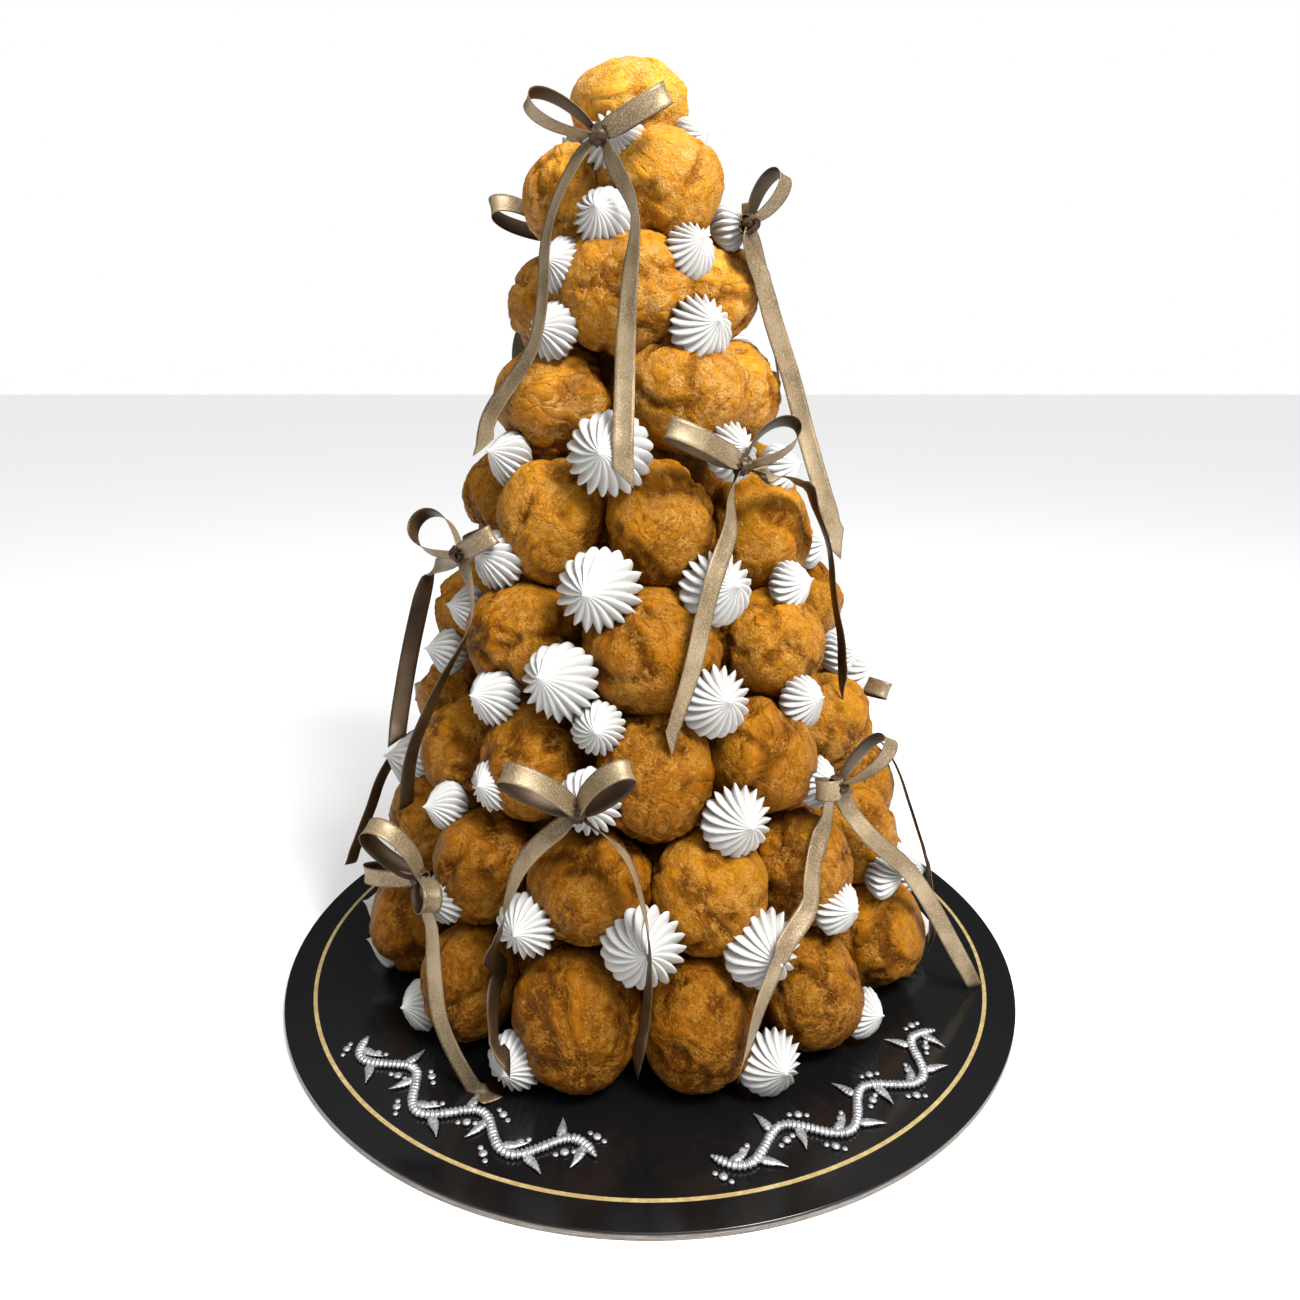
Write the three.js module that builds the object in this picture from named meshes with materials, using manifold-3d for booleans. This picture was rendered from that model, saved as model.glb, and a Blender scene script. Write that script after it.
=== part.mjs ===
// Croquembouche: a cone of choux puffs with piped cream rosettes and ribbon bows, on its round board.
// Millimetres, +Z up. The origin is the middle of the board's underside, and -Y is the front.
import * as THREE from "three";
import { mergeVertices } from "three/addons/utils/BufferGeometryUtils.js";
import Module from "manifold-3d";

const wasm = await Module();
wasm.setup();

// ---- driving dimensions ----

const boardRadius = 203;
const boardThickness = 4;
const boardSides = 56;
const gap = 0.3; // air left between pieces that touch

// The tower stands behind the board's middle and leans a little to the left.
const towerBack = 14;
const towerShift = -1;
const towerLean = -9;
const leanHeight = 440;

// Tiers from the board up. ring is the radius that the puffs' middles stand on, and rise their height above
// the board. front lists the puffs that face the front as [azimuth, width, height, lift], with azimuth 0 at
// -Y, and behind says how many more close the ring.
const tiers = [
  {
    ring: 132,
    rise: 30,
    front: [[-73, 52, 60], [-42, 48, 59], [-14.5, 60, 68, 2], [10.5, 54, 62], [38, 50, 59], [67, 54, 62]],
    behind: 7,
  },
  {
    ring: 116,
    rise: 90,
    front: [[-72, 52, 56], [-42, 50, 57], [-12.4, 58, 54, 5], [15, 54, 58], [41, 50, 58], [69, 52, 58, -6]],
    behind: 7,
  },
  {
    ring: 99,
    rise: 145,
    front: [[-90, 52, 52], [-60, 54, 56, -10], [-31, 50, 56], [3.6, 54, 62, -2], [35, 54, 54], [68, 54, 54]],
    behind: 5,
  },
  {
    ring: 83,
    rise: 198,
    front: [[-80, 50, 52], [-41.2, 58, 54], [3.8, 64, 60], [50, 52, 52, -5], [88, 50, 52, 3]],
    behind: 4,
  },
  {
    ring: 65,
    rise: 254,
    front: [[-86, 50, 50, 4], [-36.9, 56, 60], [9.6, 50, 60], [63, 54, 58, -10]],
    behind: 3,
  },
  { ring: 48, rise: 310, front: [[-52.3, 55, 52, -2], [23.4, 62, 54, 2], [84, 50, 50]], behind: 2 },
  { ring: 36, rise: 359, front: [[-88, 50, 48, -4], [-3.5, 62, 56], [88, 50, 50, 3]], behind: 1 },
  { ring: 28, rise: 405, front: [[-60.6, 50, 52], [38.9, 57, 50, 2]], behind: 1 },
  { ring: 2, rise: 442, front: [[20, 56, 40]], behind: 0 },
];

const puffWidth = 54; // of the puffs behind, give or take puffSpread
const puffHeight = 55;
const puffSpread = 3;
const puffDepth = 54; // outward
const puffTilt = 10; // degrees that a puff's crown looks up
const puffColumns = 7;
// Its outline from the back to the crown at the front, as shares of its half sizes: outward, then around.
const puffOutline = [[-0.9, 0], [-0.05, 1.07], [0.62, 0.85], [1, 0]];
const puffLump = 0.07; // of its radius
const tierSeed = 31; // a seed sets the scatter of one tier or level apart from the next
const behindSeed = 17;
const coreInset = 11; // the tier's middle is this much inside its ring
const coreSides = 8; // at least, and as many as the tier has puffs
const tierPress = 0.4; // how much wider than a tier its hollow in the next one is
const palerFrom = 6; // the tier from which the crust is paler

// Cream from the board up: level 1 lies round the foot, and each later one between two tiers. front lists
// the rosettes that face the front as [azimuth, height above the board, width]. The others fill the hollows
// between the puffs behind.
const creams = [
  { front: [[-73, 16, 24], [-50, 15, 24], [-24, 16, 27], [22, 18, 30], [46, 16, 24]] },
  {
    front: [
      [-66, 72, 22], [-45, 78, 25], [-23, 81, 29], [-0.2, 79, 36], [22, 73, 35], [42, 76, 26], [63, 70, 24],
    ],
  },
  { front: [[-74, 122, 22], [-50, 118, 24], [-36, 137, 24], [-11, 139, 29], [20, 129, 32], [44, 134, 24]] },
  {
    front: [
      [-70, 184, 24], [-39, 176, 27], [-19, 189, 35], [-10, 170, 24],
      [18, 181, 32], [45, 171, 25], [75, 180, 24],
    ],
  },
  { front: [[-62, 209, 22], [-47, 236, 28], [-10, 230, 37], [22, 229, 33], [52, 223, 24], [78, 236, 24]] },
  { front: [[-54, 282, 25], [-8.2, 288, 37], [37, 287, 27], [66, 275, 25]] },
  { front: [[-38, 340, 26], [31, 341, 30]] },
  { front: [[-37, 368, 25], [-14, 387, 26], [32, 374, 24], [76, 387, 22]] },
  { front: [[-10, 419, 27], [68, 424, 20]] },
];

const rosetteWidth = 28; // of the rosettes behind
const rosetteSpread = 4;
const rosetteLobes = 6;
const rosetteValley = 0.8; // of the radius at a lobe
const rosetteRise = 0.46; // of its width
const rosetteTilt = 14; // degrees that its tip looks up
const rosetteStand = 8; // its rim's distance outside the ring, plus rosetteRest of its width
const rosetteRest = 0.38;
const rosetteDrop = 4; // below the middle between two tiers, of the rosettes behind
const footHeight = 16; // of the rosettes behind that lie on the board
const bareOneIn = 3; // one in so many hollows behind is left bare
const creamSeed = 13;
const rosettePress = 0.6; // how much wider than a rosette its hollow in the puffs is
const rootDepth = 12; // its root goes this deep into the cream disc
const discHalf = 9; // half the height of the cream between two tiers
const discInset = 20; // its rim's distance inside the ring
const discLeast = 8; // its smallest radius
const discSides = 9;

// Ribbon bows. A knot is [azimuth, height], a loop [direction in degrees anticlockwise, length], and a tail
// is the [azimuth, height, stand] of the places that it hangs past, where stand is its distance outside the
// ring. Heights are from the board's underside.
const ribbonWidth = 10;
const ribbonGathered = 5; // its width in the knot
const ribbonThickness = 0.8;
const ribbonStand = 30;
const ribbonClear = 1.6; // kept from the puffs and the cream
const loopOpening = 8;
const loopOutward = 20; // degrees that a loop leans away from the tower
const loopTilt = 24; // degrees that its band is turned
const loopSteps = 5;
const tailSteps = 5;
const tailSlant = 0.6; // of its width
const tailSlack = 0.35; // 0 hangs taut over the bulges, 1 follows every hollow
const knotSize = [9, 8, 8];
const knotInside = 3; // the bands start this far from the knot's middle
const bows = [
  {
    knot: [-14, 424],
    loops: [[152, 40], [29, 42]],
    tails: [
      [[-23, 398], [-32, 367], [-43, 329], [-62, 290]],
      [[2, 395], [-0.5, 356], [-3, 315], [-1, 282]],
    ],
  },
  {
    knot: [66, 388],
    loops: [[62, 30], [150, 26]],
    tails: [
      [[74, 360], [82, 312, 33], [86, 276, 34], [90, 238, 36]],
      [[44, 368], [38, 350]],
    ],
  },
  {
    knot: [-136, 392],
    loops: [[15, 34], [160, 30]],
    tails: [
      [[-142, 362], [-146, 322], [-150, 290]],
      [[-128, 366], [-124, 336], [-126, 306]],
    ],
  },
  {
    knot: [33, 287],
    loops: [[156, 36], [32, 34]],
    tails: [
      [[25, 276], [20, 247], [12, 206], [7, 177]],
      [[47, 279], [58, 248], [59, 214], [54, 180]],
    ],
  },
  {
    knot: [-57, 243],
    loops: [[146, 30], [10, 28]],
    tails: [
      [[-74, 224, 33], [-84, 189, 35], [-86, 155, 34], [-88, 129, 33]],
      [[-50, 228], [-49, 196], [-56, 153], [-61, 117]],
    ],
  },
  {
    knot: [-108, 148],
    loops: [[150, 28], [24, 26]],
    tails: [
      [[-104, 124, 34], [-100, 96, 40], [-97, 62, 50]],
      [[-114, 120], [-120, 90], [-118, 62]],
    ],
  },
  {
    knot: [-46, 95],
    loops: [[140, 34], [184, 34], [-20, 22]],
    tails: [[[-41, 79], [-35, 47], [-28, 21], [-23, 10.5, 33]]],
  },
  {
    knot: [-10.5, 147],
    loops: [[161, 40], [27, 30]],
    tails: [
      [[-16, 134], [-22, 102], [-26, 64], [-22, 31]],
      [[-4, 138], [1.5, 111], [2, 73], [-1, 39]],
    ],
  },
  {
    knot: [47, 138],
    loops: [[165, 22], [38, 32]],
    tails: [
      [[41, 126], [34, 103], [24, 74], [15, 32]],
      [[52, 125], [62, 87, 32], [70, 34, 42], [71, 9, 58], [71, 7, 70]],
    ],
  },
  {
    knot: [116, 168],
    loops: [[168, 32], [22, 30]],
    tails: [
      [[96, 128, 34], [87, 78, 38], [76, 40, 34]],
      [[120, 138], [124, 104], [120, 74]],
    ],
  },
  {
    knot: [150, 225],
    loops: [[155, 34], [26, 34]],
    tails: [
      [[143, 200], [140, 160], [136, 122]],
      [[158, 196], [160, 158], [164, 128]],
    ],
  },
  {
    knot: [-148, 118],
    loops: [[152, 36], [28, 34]],
    tails: [
      [[-156, 96], [-158, 62], [-152, 34]],
      [[-140, 92], [-138, 60], [-142, 30]],
    ],
  },
];

// Piped silver icing: two wavy stems on the board in front of the tower.
const stemMiddle = 172; // from the board's middle
const stemSway = 8;
const stemWidth = 3.4;
const stemHeight = 2.4;
const stemSteps = 15;
const stemWaves = 3;
const stemSides = 4;
const stemSpans = { left: [-56, -7], right: [9, 58] };

// ---- colours ----

const crust = new THREE.MeshStandardMaterial({ color: 0xc98a3a, roughness: 0.5, metalness: 0 });
const paleCrust = new THREE.MeshStandardMaterial({ color: 0xdba450, roughness: 0.48, metalness: 0 });
const creamWhite = new THREE.MeshStandardMaterial({ color: 0xf6f5f2, roughness: 0.42, metalness: 0 });
const satin = new THREE.MeshStandardMaterial({ color: 0x9b8568, roughness: 0.36, metalness: 0.2 });
const blackGloss = new THREE.MeshStandardMaterial({ color: 0x0b0b0c, roughness: 0.14, metalness: 0 });
const silverIcing = new THREE.MeshStandardMaterial({ color: 0xb4b6b8, roughness: 0.32, metalness: 0.6 });

// ---- places on the tower ----

const rad = THREE.MathUtils.degToRad;
const up = new THREE.Vector3(0, 0, 1);

function axisAt(z) {
  return new THREE.Vector3(towerShift + (towerLean * (z - boardThickness)) / leanHeight, towerBack, z);
}

function outward(azimuth) {
  return new THREE.Vector3(Math.sin(rad(azimuth)), -Math.cos(rad(azimuth)), 0);
}

function around(azimuth) {
  return new THREE.Vector3(Math.cos(rad(azimuth)), Math.sin(rad(azimuth)), 0);
}

function onTower(azimuth, z, radius) {
  return axisAt(z).addScaledVector(outward(azimuth), radius);
}

// The ring's radius at any height, straight between the tiers.
function ringAt(z) {
  const height = z - boardThickness;
  const above = tiers.findIndex((tier) => tier.rise > height);
  if (above === 0) return tiers[0].ring;
  if (above < 0) return tiers.at(-1).ring;
  const low = tiers[above - 1];
  const high = tiers[above];
  return THREE.MathUtils.mapLinear(height, low.rise, high.rise, low.ring, high.ring);
}

// An even, repeatable scatter between -1 and 1.
function scatter(number) {
  return ((number * 0.618034) % 1) * 2 - 1;
}

// Evenly spaced azimuths behind a tier. Counted in steps from its last front puff to the next puff, they
// begin at first: 1 is the first puff behind, and 0.5 the hollow before it.
function anglesBehind(tier, count, first) {
  const last = tier.front.at(-1)[0];
  const step = (tier.front[0][0] + 360 - last) / (tier.behind + 1);
  return Array.from({ length: count }, (_, i) => last + step * (i + first));
}

// ---- solids ----

function solid(geometry) {
  geometry.deleteAttribute("normal");
  geometry.deleteAttribute("uv");
  const merged = mergeVertices(geometry);
  const index = merged.index.array;
  const kept = [];
  for (let i = 0; i < index.length; i += 3) {
    const [a, b, c] = index.slice(i, i + 3);
    if (a !== b && b !== c && c !== a) kept.push(a, b, c);
  }
  const mesh = new wasm.Mesh({
    numProp: 3,
    vertProperties: new Float32Array(merged.attributes.position.array),
    triVerts: new Uint32Array(kept),
  });
  return new wasm.Manifold(mesh);
}

function joined(solids) {
  return solids.reduce((whole, next) => whole.add(next));
}

function largest(whole) {
  return whole.decompose().reduce((best, next) => (next.volume() > best.volume() ? next : best));
}

function named(name, whole, material) {
  const { vertProperties, triVerts } = whole.getMesh();
  const geometry = new THREE.BufferGeometry();
  geometry.setAttribute("position", new THREE.BufferAttribute(vertProperties, 3));
  geometry.setIndex(new THREE.BufferAttribute(triVerts, 1));
  geometry.computeVertexNormals();
  const mesh = new THREE.Mesh(geometry, material);
  mesh.name = name;
  return mesh;
}

// Puts every vertex where shape(vertex, number) says.
function reshaped(geometry, shape) {
  const position = geometry.attributes.position;
  const vertex = new THREE.Vector3();
  for (let i = 0; i < position.count; i++) {
    vertex.fromBufferAttribute(position, i);
    const moved = shape(vertex, i);
    position.setXYZ(i, moved.x, moved.y, moved.z);
  }
  return geometry;
}

// ---- puffs ----

// Every puff and rosette is also an egg for the ribbons to keep clear of: a middle, three directions and
// the half sizes along them.
function tilted(azimuth, tilt) {
  const out = outward(azimuth).multiplyScalar(Math.cos(rad(tilt))).addScaledVector(up, Math.sin(rad(tilt)));
  const side = around(azimuth);
  return [side, out.clone().cross(side), out];
}

function puffEgg(tier, [azimuth, width, height, lift = 0], number) {
  const depth = puffDepth + puffSpread * scatter(number + 3);
  return {
    middle: onTower(azimuth, boardThickness + tier.rise + lift, tier.ring),
    axes: tilted(azimuth, puffTilt),
    half: [width / 2, height / 2, Math.min(depth, width) / 2],
    number,
  };
}

function puffsOf(tier, tierNumber) {
  const behind = anglesBehind(tier, tier.behind, 1).map((azimuth, i) => {
    const number = behindSeed * tierNumber + i;
    return [
      azimuth,
      puffWidth + puffSpread * scatter(number),
      puffHeight + puffSpread * scatter(number + 5),
      puffSpread * scatter(number + 9),
    ];
  });
  return [...tier.front, ...behind].map((puff, i) => puffEgg(tier, puff, tierSeed * tierNumber + i));
}

function puffSolid(egg, grow = 0) {
  const [side, rise, out] = egg.axes;
  const rows = puffOutline.length;
  const profile = puffOutline.map(([depth, reach]) => new THREE.Vector2(reach, depth));
  const lathe = new THREE.LatheGeometry(profile, puffColumns);
  const ball = reshaped(lathe, (v, i) => {
    const [depth, reach] = puffOutline[i % rows];
    const column = Math.floor(i / rows) % puffColumns;
    const angle = (2 * Math.PI * column) / puffColumns + egg.number;
    const swell = 1 - puffLump * (0.5 + 0.5 * scatter(egg.number + 7 * column + (i % rows)));
    return egg.middle
      .clone()
      .addScaledVector(side, reach * Math.cos(angle) * (egg.half[0] * swell + grow))
      .addScaledVector(rise, reach * Math.sin(angle) * (egg.half[1] * swell + grow))
      .addScaledVector(out, depth * (egg.half[2] + grow));
  });
  return solid(ball);
}

// ---- cream rosettes ----

function rosetteEgg([azimuth, height, width], level) {
  const z = boardThickness + height;
  const disc = discAt(level);
  return {
    middle: onTower(azimuth, z, ringAt(z) + rosetteStand + rosetteRest * width),
    axes: tilted(azimuth, rosetteTilt),
    half: [width / 2, width / 2, width * rosetteRise],
    root: onTower(azimuth, disc.z, Math.max(0, disc.radius - rootDepth)),
  };
}

// The cream that fills the middle between two tiers, which the rosettes of its level grow from.
function discAt(level) {
  if (level === 0) {
    return { z: boardThickness + gap + discHalf, radius: tiers[0].ring - discInset };
  }
  const low = tiers[level - 1];
  const high = tiers[level];
  return {
    z: boardThickness + (low.rise + high.rise) / 2,
    radius: Math.max(discLeast, (low.ring + high.ring) / 2 - discInset),
  };
}

// Nearly every hollow between two puffs behind holds a rosette.
function rosettesOf(cream, level) {
  const below = tiers[Math.max(0, level - 1)];
  const height = level === 0 ? footHeight : discAt(level).z - boardThickness - rosetteDrop;
  const behind = anglesBehind(below, below.behind + 1, 0.5)
    .map((azimuth, i) => {
      const number = creamSeed * level + i;
      const lift = level === 0 ? 0 : rosetteSpread * scatter(number);
      return [azimuth, height + lift, rosetteWidth + rosetteSpread * scatter(number + 4)];
    })
    .filter((_, i) => (i + level + 1) % bareOneIn !== 0);
  return [...cream.front, ...behind].map((rosette) => rosetteEgg(rosette, level));
}

// A star-shaped dome with a root that tapers back into the disc. asHollow leaves out the valleys and grows
// it a little, which makes the hollow that it presses into the puffs.
function rosetteSolid(egg, asHollow = false) {
  const sides = asHollow ? rosetteLobes : 2 * rosetteLobes;
  const grow = asHollow ? rosettePress : 0;
  const [side, rise, out] = egg.axes;
  const radius = egg.half[0];
  const tip = egg.half[2];
  const rows = [
    { at: egg.root, radius: 0 },
    { at: egg.middle.clone().addScaledVector(out, -grow), radius: radius + grow },
    { at: egg.middle.clone().addScaledVector(out, tip + grow), radius: 0 },
  ];
  const lathe = new THREE.LatheGeometry(rows.map((row) => new THREE.Vector2(row.radius, 0)), sides);
  return solid(
    reshaped(lathe, (v, i) => {
      const row = rows[i % rows.length];
      const column = Math.floor(i / rows.length) % sides;
      const valley = !asHollow && column % 2 === 1;
      const reach = row.radius * (valley ? rosetteValley : 1);
      const angle = (2 * Math.PI * column) / sides;
      return row.at
        .clone()
        .addScaledVector(side, reach * Math.cos(angle))
        .addScaledVector(rise, reach * Math.sin(angle));
    }),
  );
}

// ---- the tower ----

// A solid of revolution round the tower's axis, from [radius, z] places. It closes on the axis.
function turned(places, sides) {
  const ends = [[0, places[0][1]], ...places, [0, places.at(-1)[1]]];
  const lathe = new THREE.LatheGeometry(ends.map(([radius, z]) => new THREE.Vector2(radius, z)), sides);
  lathe.rotateX(Math.PI / 2);
  const middle = axisAt(places[0][1]);
  lathe.translate(middle.x, middle.y, 0);
  return solid(lathe);
}

const eggsOfTier = tiers.map(puffsOf);
const eggsOfCream = creams.map(rosettesOf);
const eggs = [...eggsOfTier, ...eggsOfCream].flat();

// A level's rosettes on the plain disc that they grow from.
function creamSolid(level, asHollow = false) {
  const { z, radius } = discAt(level);
  const grow = asHollow ? gap : 0;
  const low = z - discHalf - grow;
  const high = z + discHalf + grow;
  const disc = turned([[radius + grow, low], [radius + grow, high]], discSides);
  const cream = joined([disc, ...eggsOfCream[level].map((egg) => rosetteSolid(egg, asHollow))]);
  return level === 0 && !asHollow ? cream.subtract(boardSlab()) : cream;
}

// The puffs of a tier, and the middle that they are pressed against.
function tierWhole(tierNumber, grow = 0) {
  const puffs = eggsOfTier[tierNumber].map((egg) => puffSolid(egg, grow));
  if (tierNumber === tiers.length - 1) return joined(puffs);
  const radius = Math.max(discLeast, tiers[tierNumber].ring - coreInset) + grow;
  const low = discAt(tierNumber).z + discHalf + gap;
  const high = discAt(tierNumber + 1).z - discHalf - gap;
  const core = turned([[radius, low], [radius, high]], Math.max(coreSides, puffs.length));
  return joined([core, ...puffs]);
}

function boardSlab() {
  const reach = 2 * boardRadius;
  const slab = new THREE.BoxGeometry(reach, reach, reach);
  slab.translate(0, 0, boardThickness + gap - reach / 2);
  return solid(slab);
}

// A tier gives way to the cream above and below it, and to the tier that it stands on. What that cuts off
// of a puff's edge is left out.
function tierSolid(tierNumber) {
  const cream = creams.slice(tierNumber, tierNumber + 2).map((_, i) => creamSolid(tierNumber + i, true));
  const under = tierNumber > 0 ? tierWhole(tierNumber - 1, tierPress) : boardSlab();
  return largest(tierWhole(tierNumber).subtract(joined(cream)).subtract(under));
}

// ---- ribbon bows ----

// How far from the axis the outermost puff or rosette reaches at a place.
function outermost(azimuth, z) {
  const from = axisAt(z);
  const along = outward(azimuth);
  let reach = 0;
  for (const { middle, axes, half } of eggs) {
    const start = from.clone().sub(middle);
    const o = axes.map((axis, i) => start.dot(axis) / half[i]);
    const d = axes.map((axis, i) => along.dot(axis) / half[i]);
    const a = d[0] ** 2 + d[1] ** 2 + d[2] ** 2;
    const b = o[0] * d[0] + o[1] * d[1] + o[2] * d[2];
    const c = o[0] ** 2 + o[1] ** 2 + o[2] ** 2 - 1;
    const inside = b * b - a * c;
    if (inside > 0) reach = Math.max(reach, (-b + Math.sqrt(inside)) / a);
  }
  return reach;
}

function towerPlace(point) {
  const middle = axisAt(point.z);
  const x = point.x - middle.x;
  const y = point.y - middle.y;
  return { azimuth: THREE.MathUtils.radToDeg(Math.atan2(x, -y)), radius: Math.hypot(x, y) };
}

// How far from the axis a ribbon has to be to pass a place, over a patch as large as its width.
function clearRadius(point) {
  const { azimuth, radius } = towerPlace(point);
  const half = ribbonWidth / 2;
  const turn = THREE.MathUtils.radToDeg(half / Math.max(radius, half));
  let reach = 0;
  for (const across of [-1, 0, 1]) {
    for (const along of [-1, 0, 1]) {
      reach = Math.max(reach, outermost(azimuth + across * turn, point.z + along * half));
    }
  }
  return reach + ribbonClear;
}

// A band that follows points, with its width along widths[i]. It is gathered where it enters the knot: at
// its start, and at both ends of a loop. A tail's far end is cut at a slant instead.
function bandSolid(points, widths, slant) {
  const steps = points.length - 1;
  const box = new THREE.BoxGeometry(1, 1, 1, 1, 1, steps);
  return solid(
    reshaped(box, (v) => {
      const i = Math.round((v.z + 0.5) * steps);
      const along = points[Math.min(i + 1, steps)].clone().sub(points[Math.max(i - 1, 0)]).normalize();
      const across = widths[i];
      const face = along.clone().cross(across).normalize();
      const cut = i === steps ? slant * v.x * ribbonWidth : 0;
      const inKnot = i === 0 || (i === steps && slant === 0);
      return points[i]
        .clone()
        .addScaledVector(across, v.x * (inKnot ? ribbonGathered : ribbonWidth))
        .addScaledVector(face, v.y * ribbonThickness)
        .addScaledVector(along, cut);
    }),
  );
}

function loopSolid(knot, azimuth, [direction, length]) {
  const turn = rad(direction);
  const flat = around(azimuth).multiplyScalar(Math.cos(turn)).addScaledVector(up, Math.sin(turn));
  const lean = rad(loopOutward);
  const far = flat.clone().multiplyScalar(Math.cos(lean)).addScaledVector(outward(azimuth), Math.sin(lean));
  const open = outward(azimuth).addScaledVector(far, -outward(azimuth).dot(far)).normalize();
  const across = open.clone().cross(far);
  const tilt = rad(loopTilt) * Math.sign(across.z || 1);
  open.applyAxisAngle(far, tilt);
  across.applyAxisAngle(far, tilt);
  const points = [];
  const start = 2 * Math.asin(Math.sqrt(knotInside / length));
  for (let i = 0; i <= loopSteps; i++) {
    const angle = THREE.MathUtils.lerp(start, 2 * Math.PI - start, i / loopSteps);
    const bulge = Math.sin(angle) * Math.abs(Math.sin(angle / 2));
    const point = knot
      .clone()
      .addScaledVector(far, length * Math.sin(angle / 2) ** 2)
      .addScaledVector(open, loopOpening * bulge);
    const short = clearRadius(point) - towerPlace(point).radius;
    if (short > 0) point.addScaledVector(outward(azimuth), short);
    points.push(point);
  }
  return bandSolid(points, points.map(() => across), 0);
}

// The tail hangs from the knot past its places, over the bulges and partly into the hollows between them.
function tailSolid(knot, places, slant) {
  const marks = places.map(([azimuth, z, stand = ribbonStand]) => onTower(azimuth, z, ringAt(z) + stand));
  const path = new THREE.CatmullRomCurve3([knot, ...marks]).getSpacedPoints(tailSteps);
  const asked = path.map((point, i) => {
    const radius = towerPlace(point).radius;
    return i === 0 ? radius : Math.max(radius, clearRadius(point));
  });
  const points = path.map((point, i) => {
    let taut = asked[i];
    for (let a = 0; a < i; a++) {
      for (let b = i + 1; b < asked.length; b++) {
        taut = Math.max(taut, THREE.MathUtils.mapLinear(i, a, b, asked[a], asked[b]));
      }
    }
    const radius = THREE.MathUtils.lerp(taut, asked[i], tailSlack);
    const { azimuth } = towerPlace(point);
    return onTower(azimuth, Math.max(point.z, boardThickness + ribbonClear), radius);
  });
  const widths = points.map((point, i) => {
    const along = points[Math.min(i + 1, tailSteps)].clone().sub(points[Math.max(i - 1, 0)]).normalize();
    const side = around(towerPlace(point).azimuth);
    return side.addScaledVector(along, -side.dot(along)).normalize();
  });
  return bandSolid(points, widths, slant);
}

function bowSolid({ knot: [azimuth, z], loops, tails }) {
  const reach = ringAt(z) + ribbonStand;
  const place = onTower(azimuth, z, reach);
  const stand = Math.max(reach, clearRadius(place) + knotSize[2] / 2);
  const knot = onTower(azimuth, z, stand);
  const [side, rise, out] = tilted(azimuth, 0);
  const lump = reshaped(new THREE.BoxGeometry(1, 1, 1), (v) =>
    knot
      .clone()
      .addScaledVector(side, v.x * knotSize[0])
      .addScaledVector(rise, v.y * knotSize[1])
      .addScaledVector(out, v.z * knotSize[2]),
  );
  return joined([
    solid(lump),
    ...loops.map((loop) => loopSolid(knot, azimuth, loop)),
    ...tails.map((places, i) => {
      const apart = tails.length > 1 ? (2 * i - 1) * knotInside : 0;
      const start = knot.clone().addScaledVector(rise, -knotInside / 2).addScaledVector(side, apart);
      return tailSolid(start, places, i === 0 ? -tailSlant : tailSlant);
    }),
  ]);
}

// ---- board and piped icing ----

function boardSolid() {
  const board = new THREE.CylinderGeometry(boardRadius, boardRadius, boardThickness, boardSides);
  board.rotateX(Math.PI / 2);
  board.translate(0, 0, boardThickness / 2);
  return solid(board);
}

function stemPoint(from, to, share) {
  const azimuth = THREE.MathUtils.lerp(from, to, share);
  const radius = stemMiddle + stemSway * Math.sin(2 * Math.PI * stemWaves * share);
  return outward(azimuth).multiplyScalar(radius).setZ(boardThickness + gap + stemHeight / 2);
}

function stemSolid([from, to]) {
  const marks = Array.from({ length: stemSteps + 1 }, (_, i) => stemPoint(from, to, i / stemSteps));
  const section = new THREE.Shape();
  for (let i = 0; i < stemSides; i++) {
    const angle = (2 * Math.PI * i) / stemSides;
    section.lineTo((Math.cos(angle) * stemHeight) / 2, (Math.sin(angle) * stemWidth) / 2);
  }
  const stem = new THREE.ExtrudeGeometry(section, {
    steps: stemSteps,
    curveSegments: 1,
    bevelEnabled: false,
    extrudePath: new THREE.CatmullRomCurve3(marks),
  });
  return solid(stem);
}

// ---- the whole ----

const croquembouche = new THREE.Group();
croquembouche.add(named("board", boardSolid(), blackGloss));
for (const [side, span] of Object.entries(stemSpans)) {
  croquembouche.add(named("piped_stem_" + side, stemSolid(span), silverIcing));
}
tiers.forEach((_, i) => {
  const number = i + 1;
  croquembouche.add(named("puff_tier_" + number, tierSolid(i), number < palerFrom ? crust : paleCrust));
});
creams.forEach((_, i) => {
  croquembouche.add(named("cream_level_" + (i + 1), creamSolid(i), creamWhite));
});
bows.forEach((bow, i) => {
  croquembouche.add(named("ribbon_bow_" + (i + 1), bowSolid(bow), satin));
});

export default croquembouche;
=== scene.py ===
# %% [markdown]
# # A croquembouche on its board
#
# A croquembouche is a cone of baked choux puffs. White cream rosettes are piped into the hollows between
# them, satin bows are pinned down its sides, and it is built on the round board that it is served on.
# This lesson takes the plain solids of such a cone as a fixed frame, and gives each of them its real
# surface: crust that has risen, cracked and browned, cream with the sharp ridges of a star nozzle, ribbon
# that hangs over the bulges, and gloss board with piped silver icing.

# %% Load the frame
import math

import bpy
import numpy as np
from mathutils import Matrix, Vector
from mathutils.bvhtree import BVHTree


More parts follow.
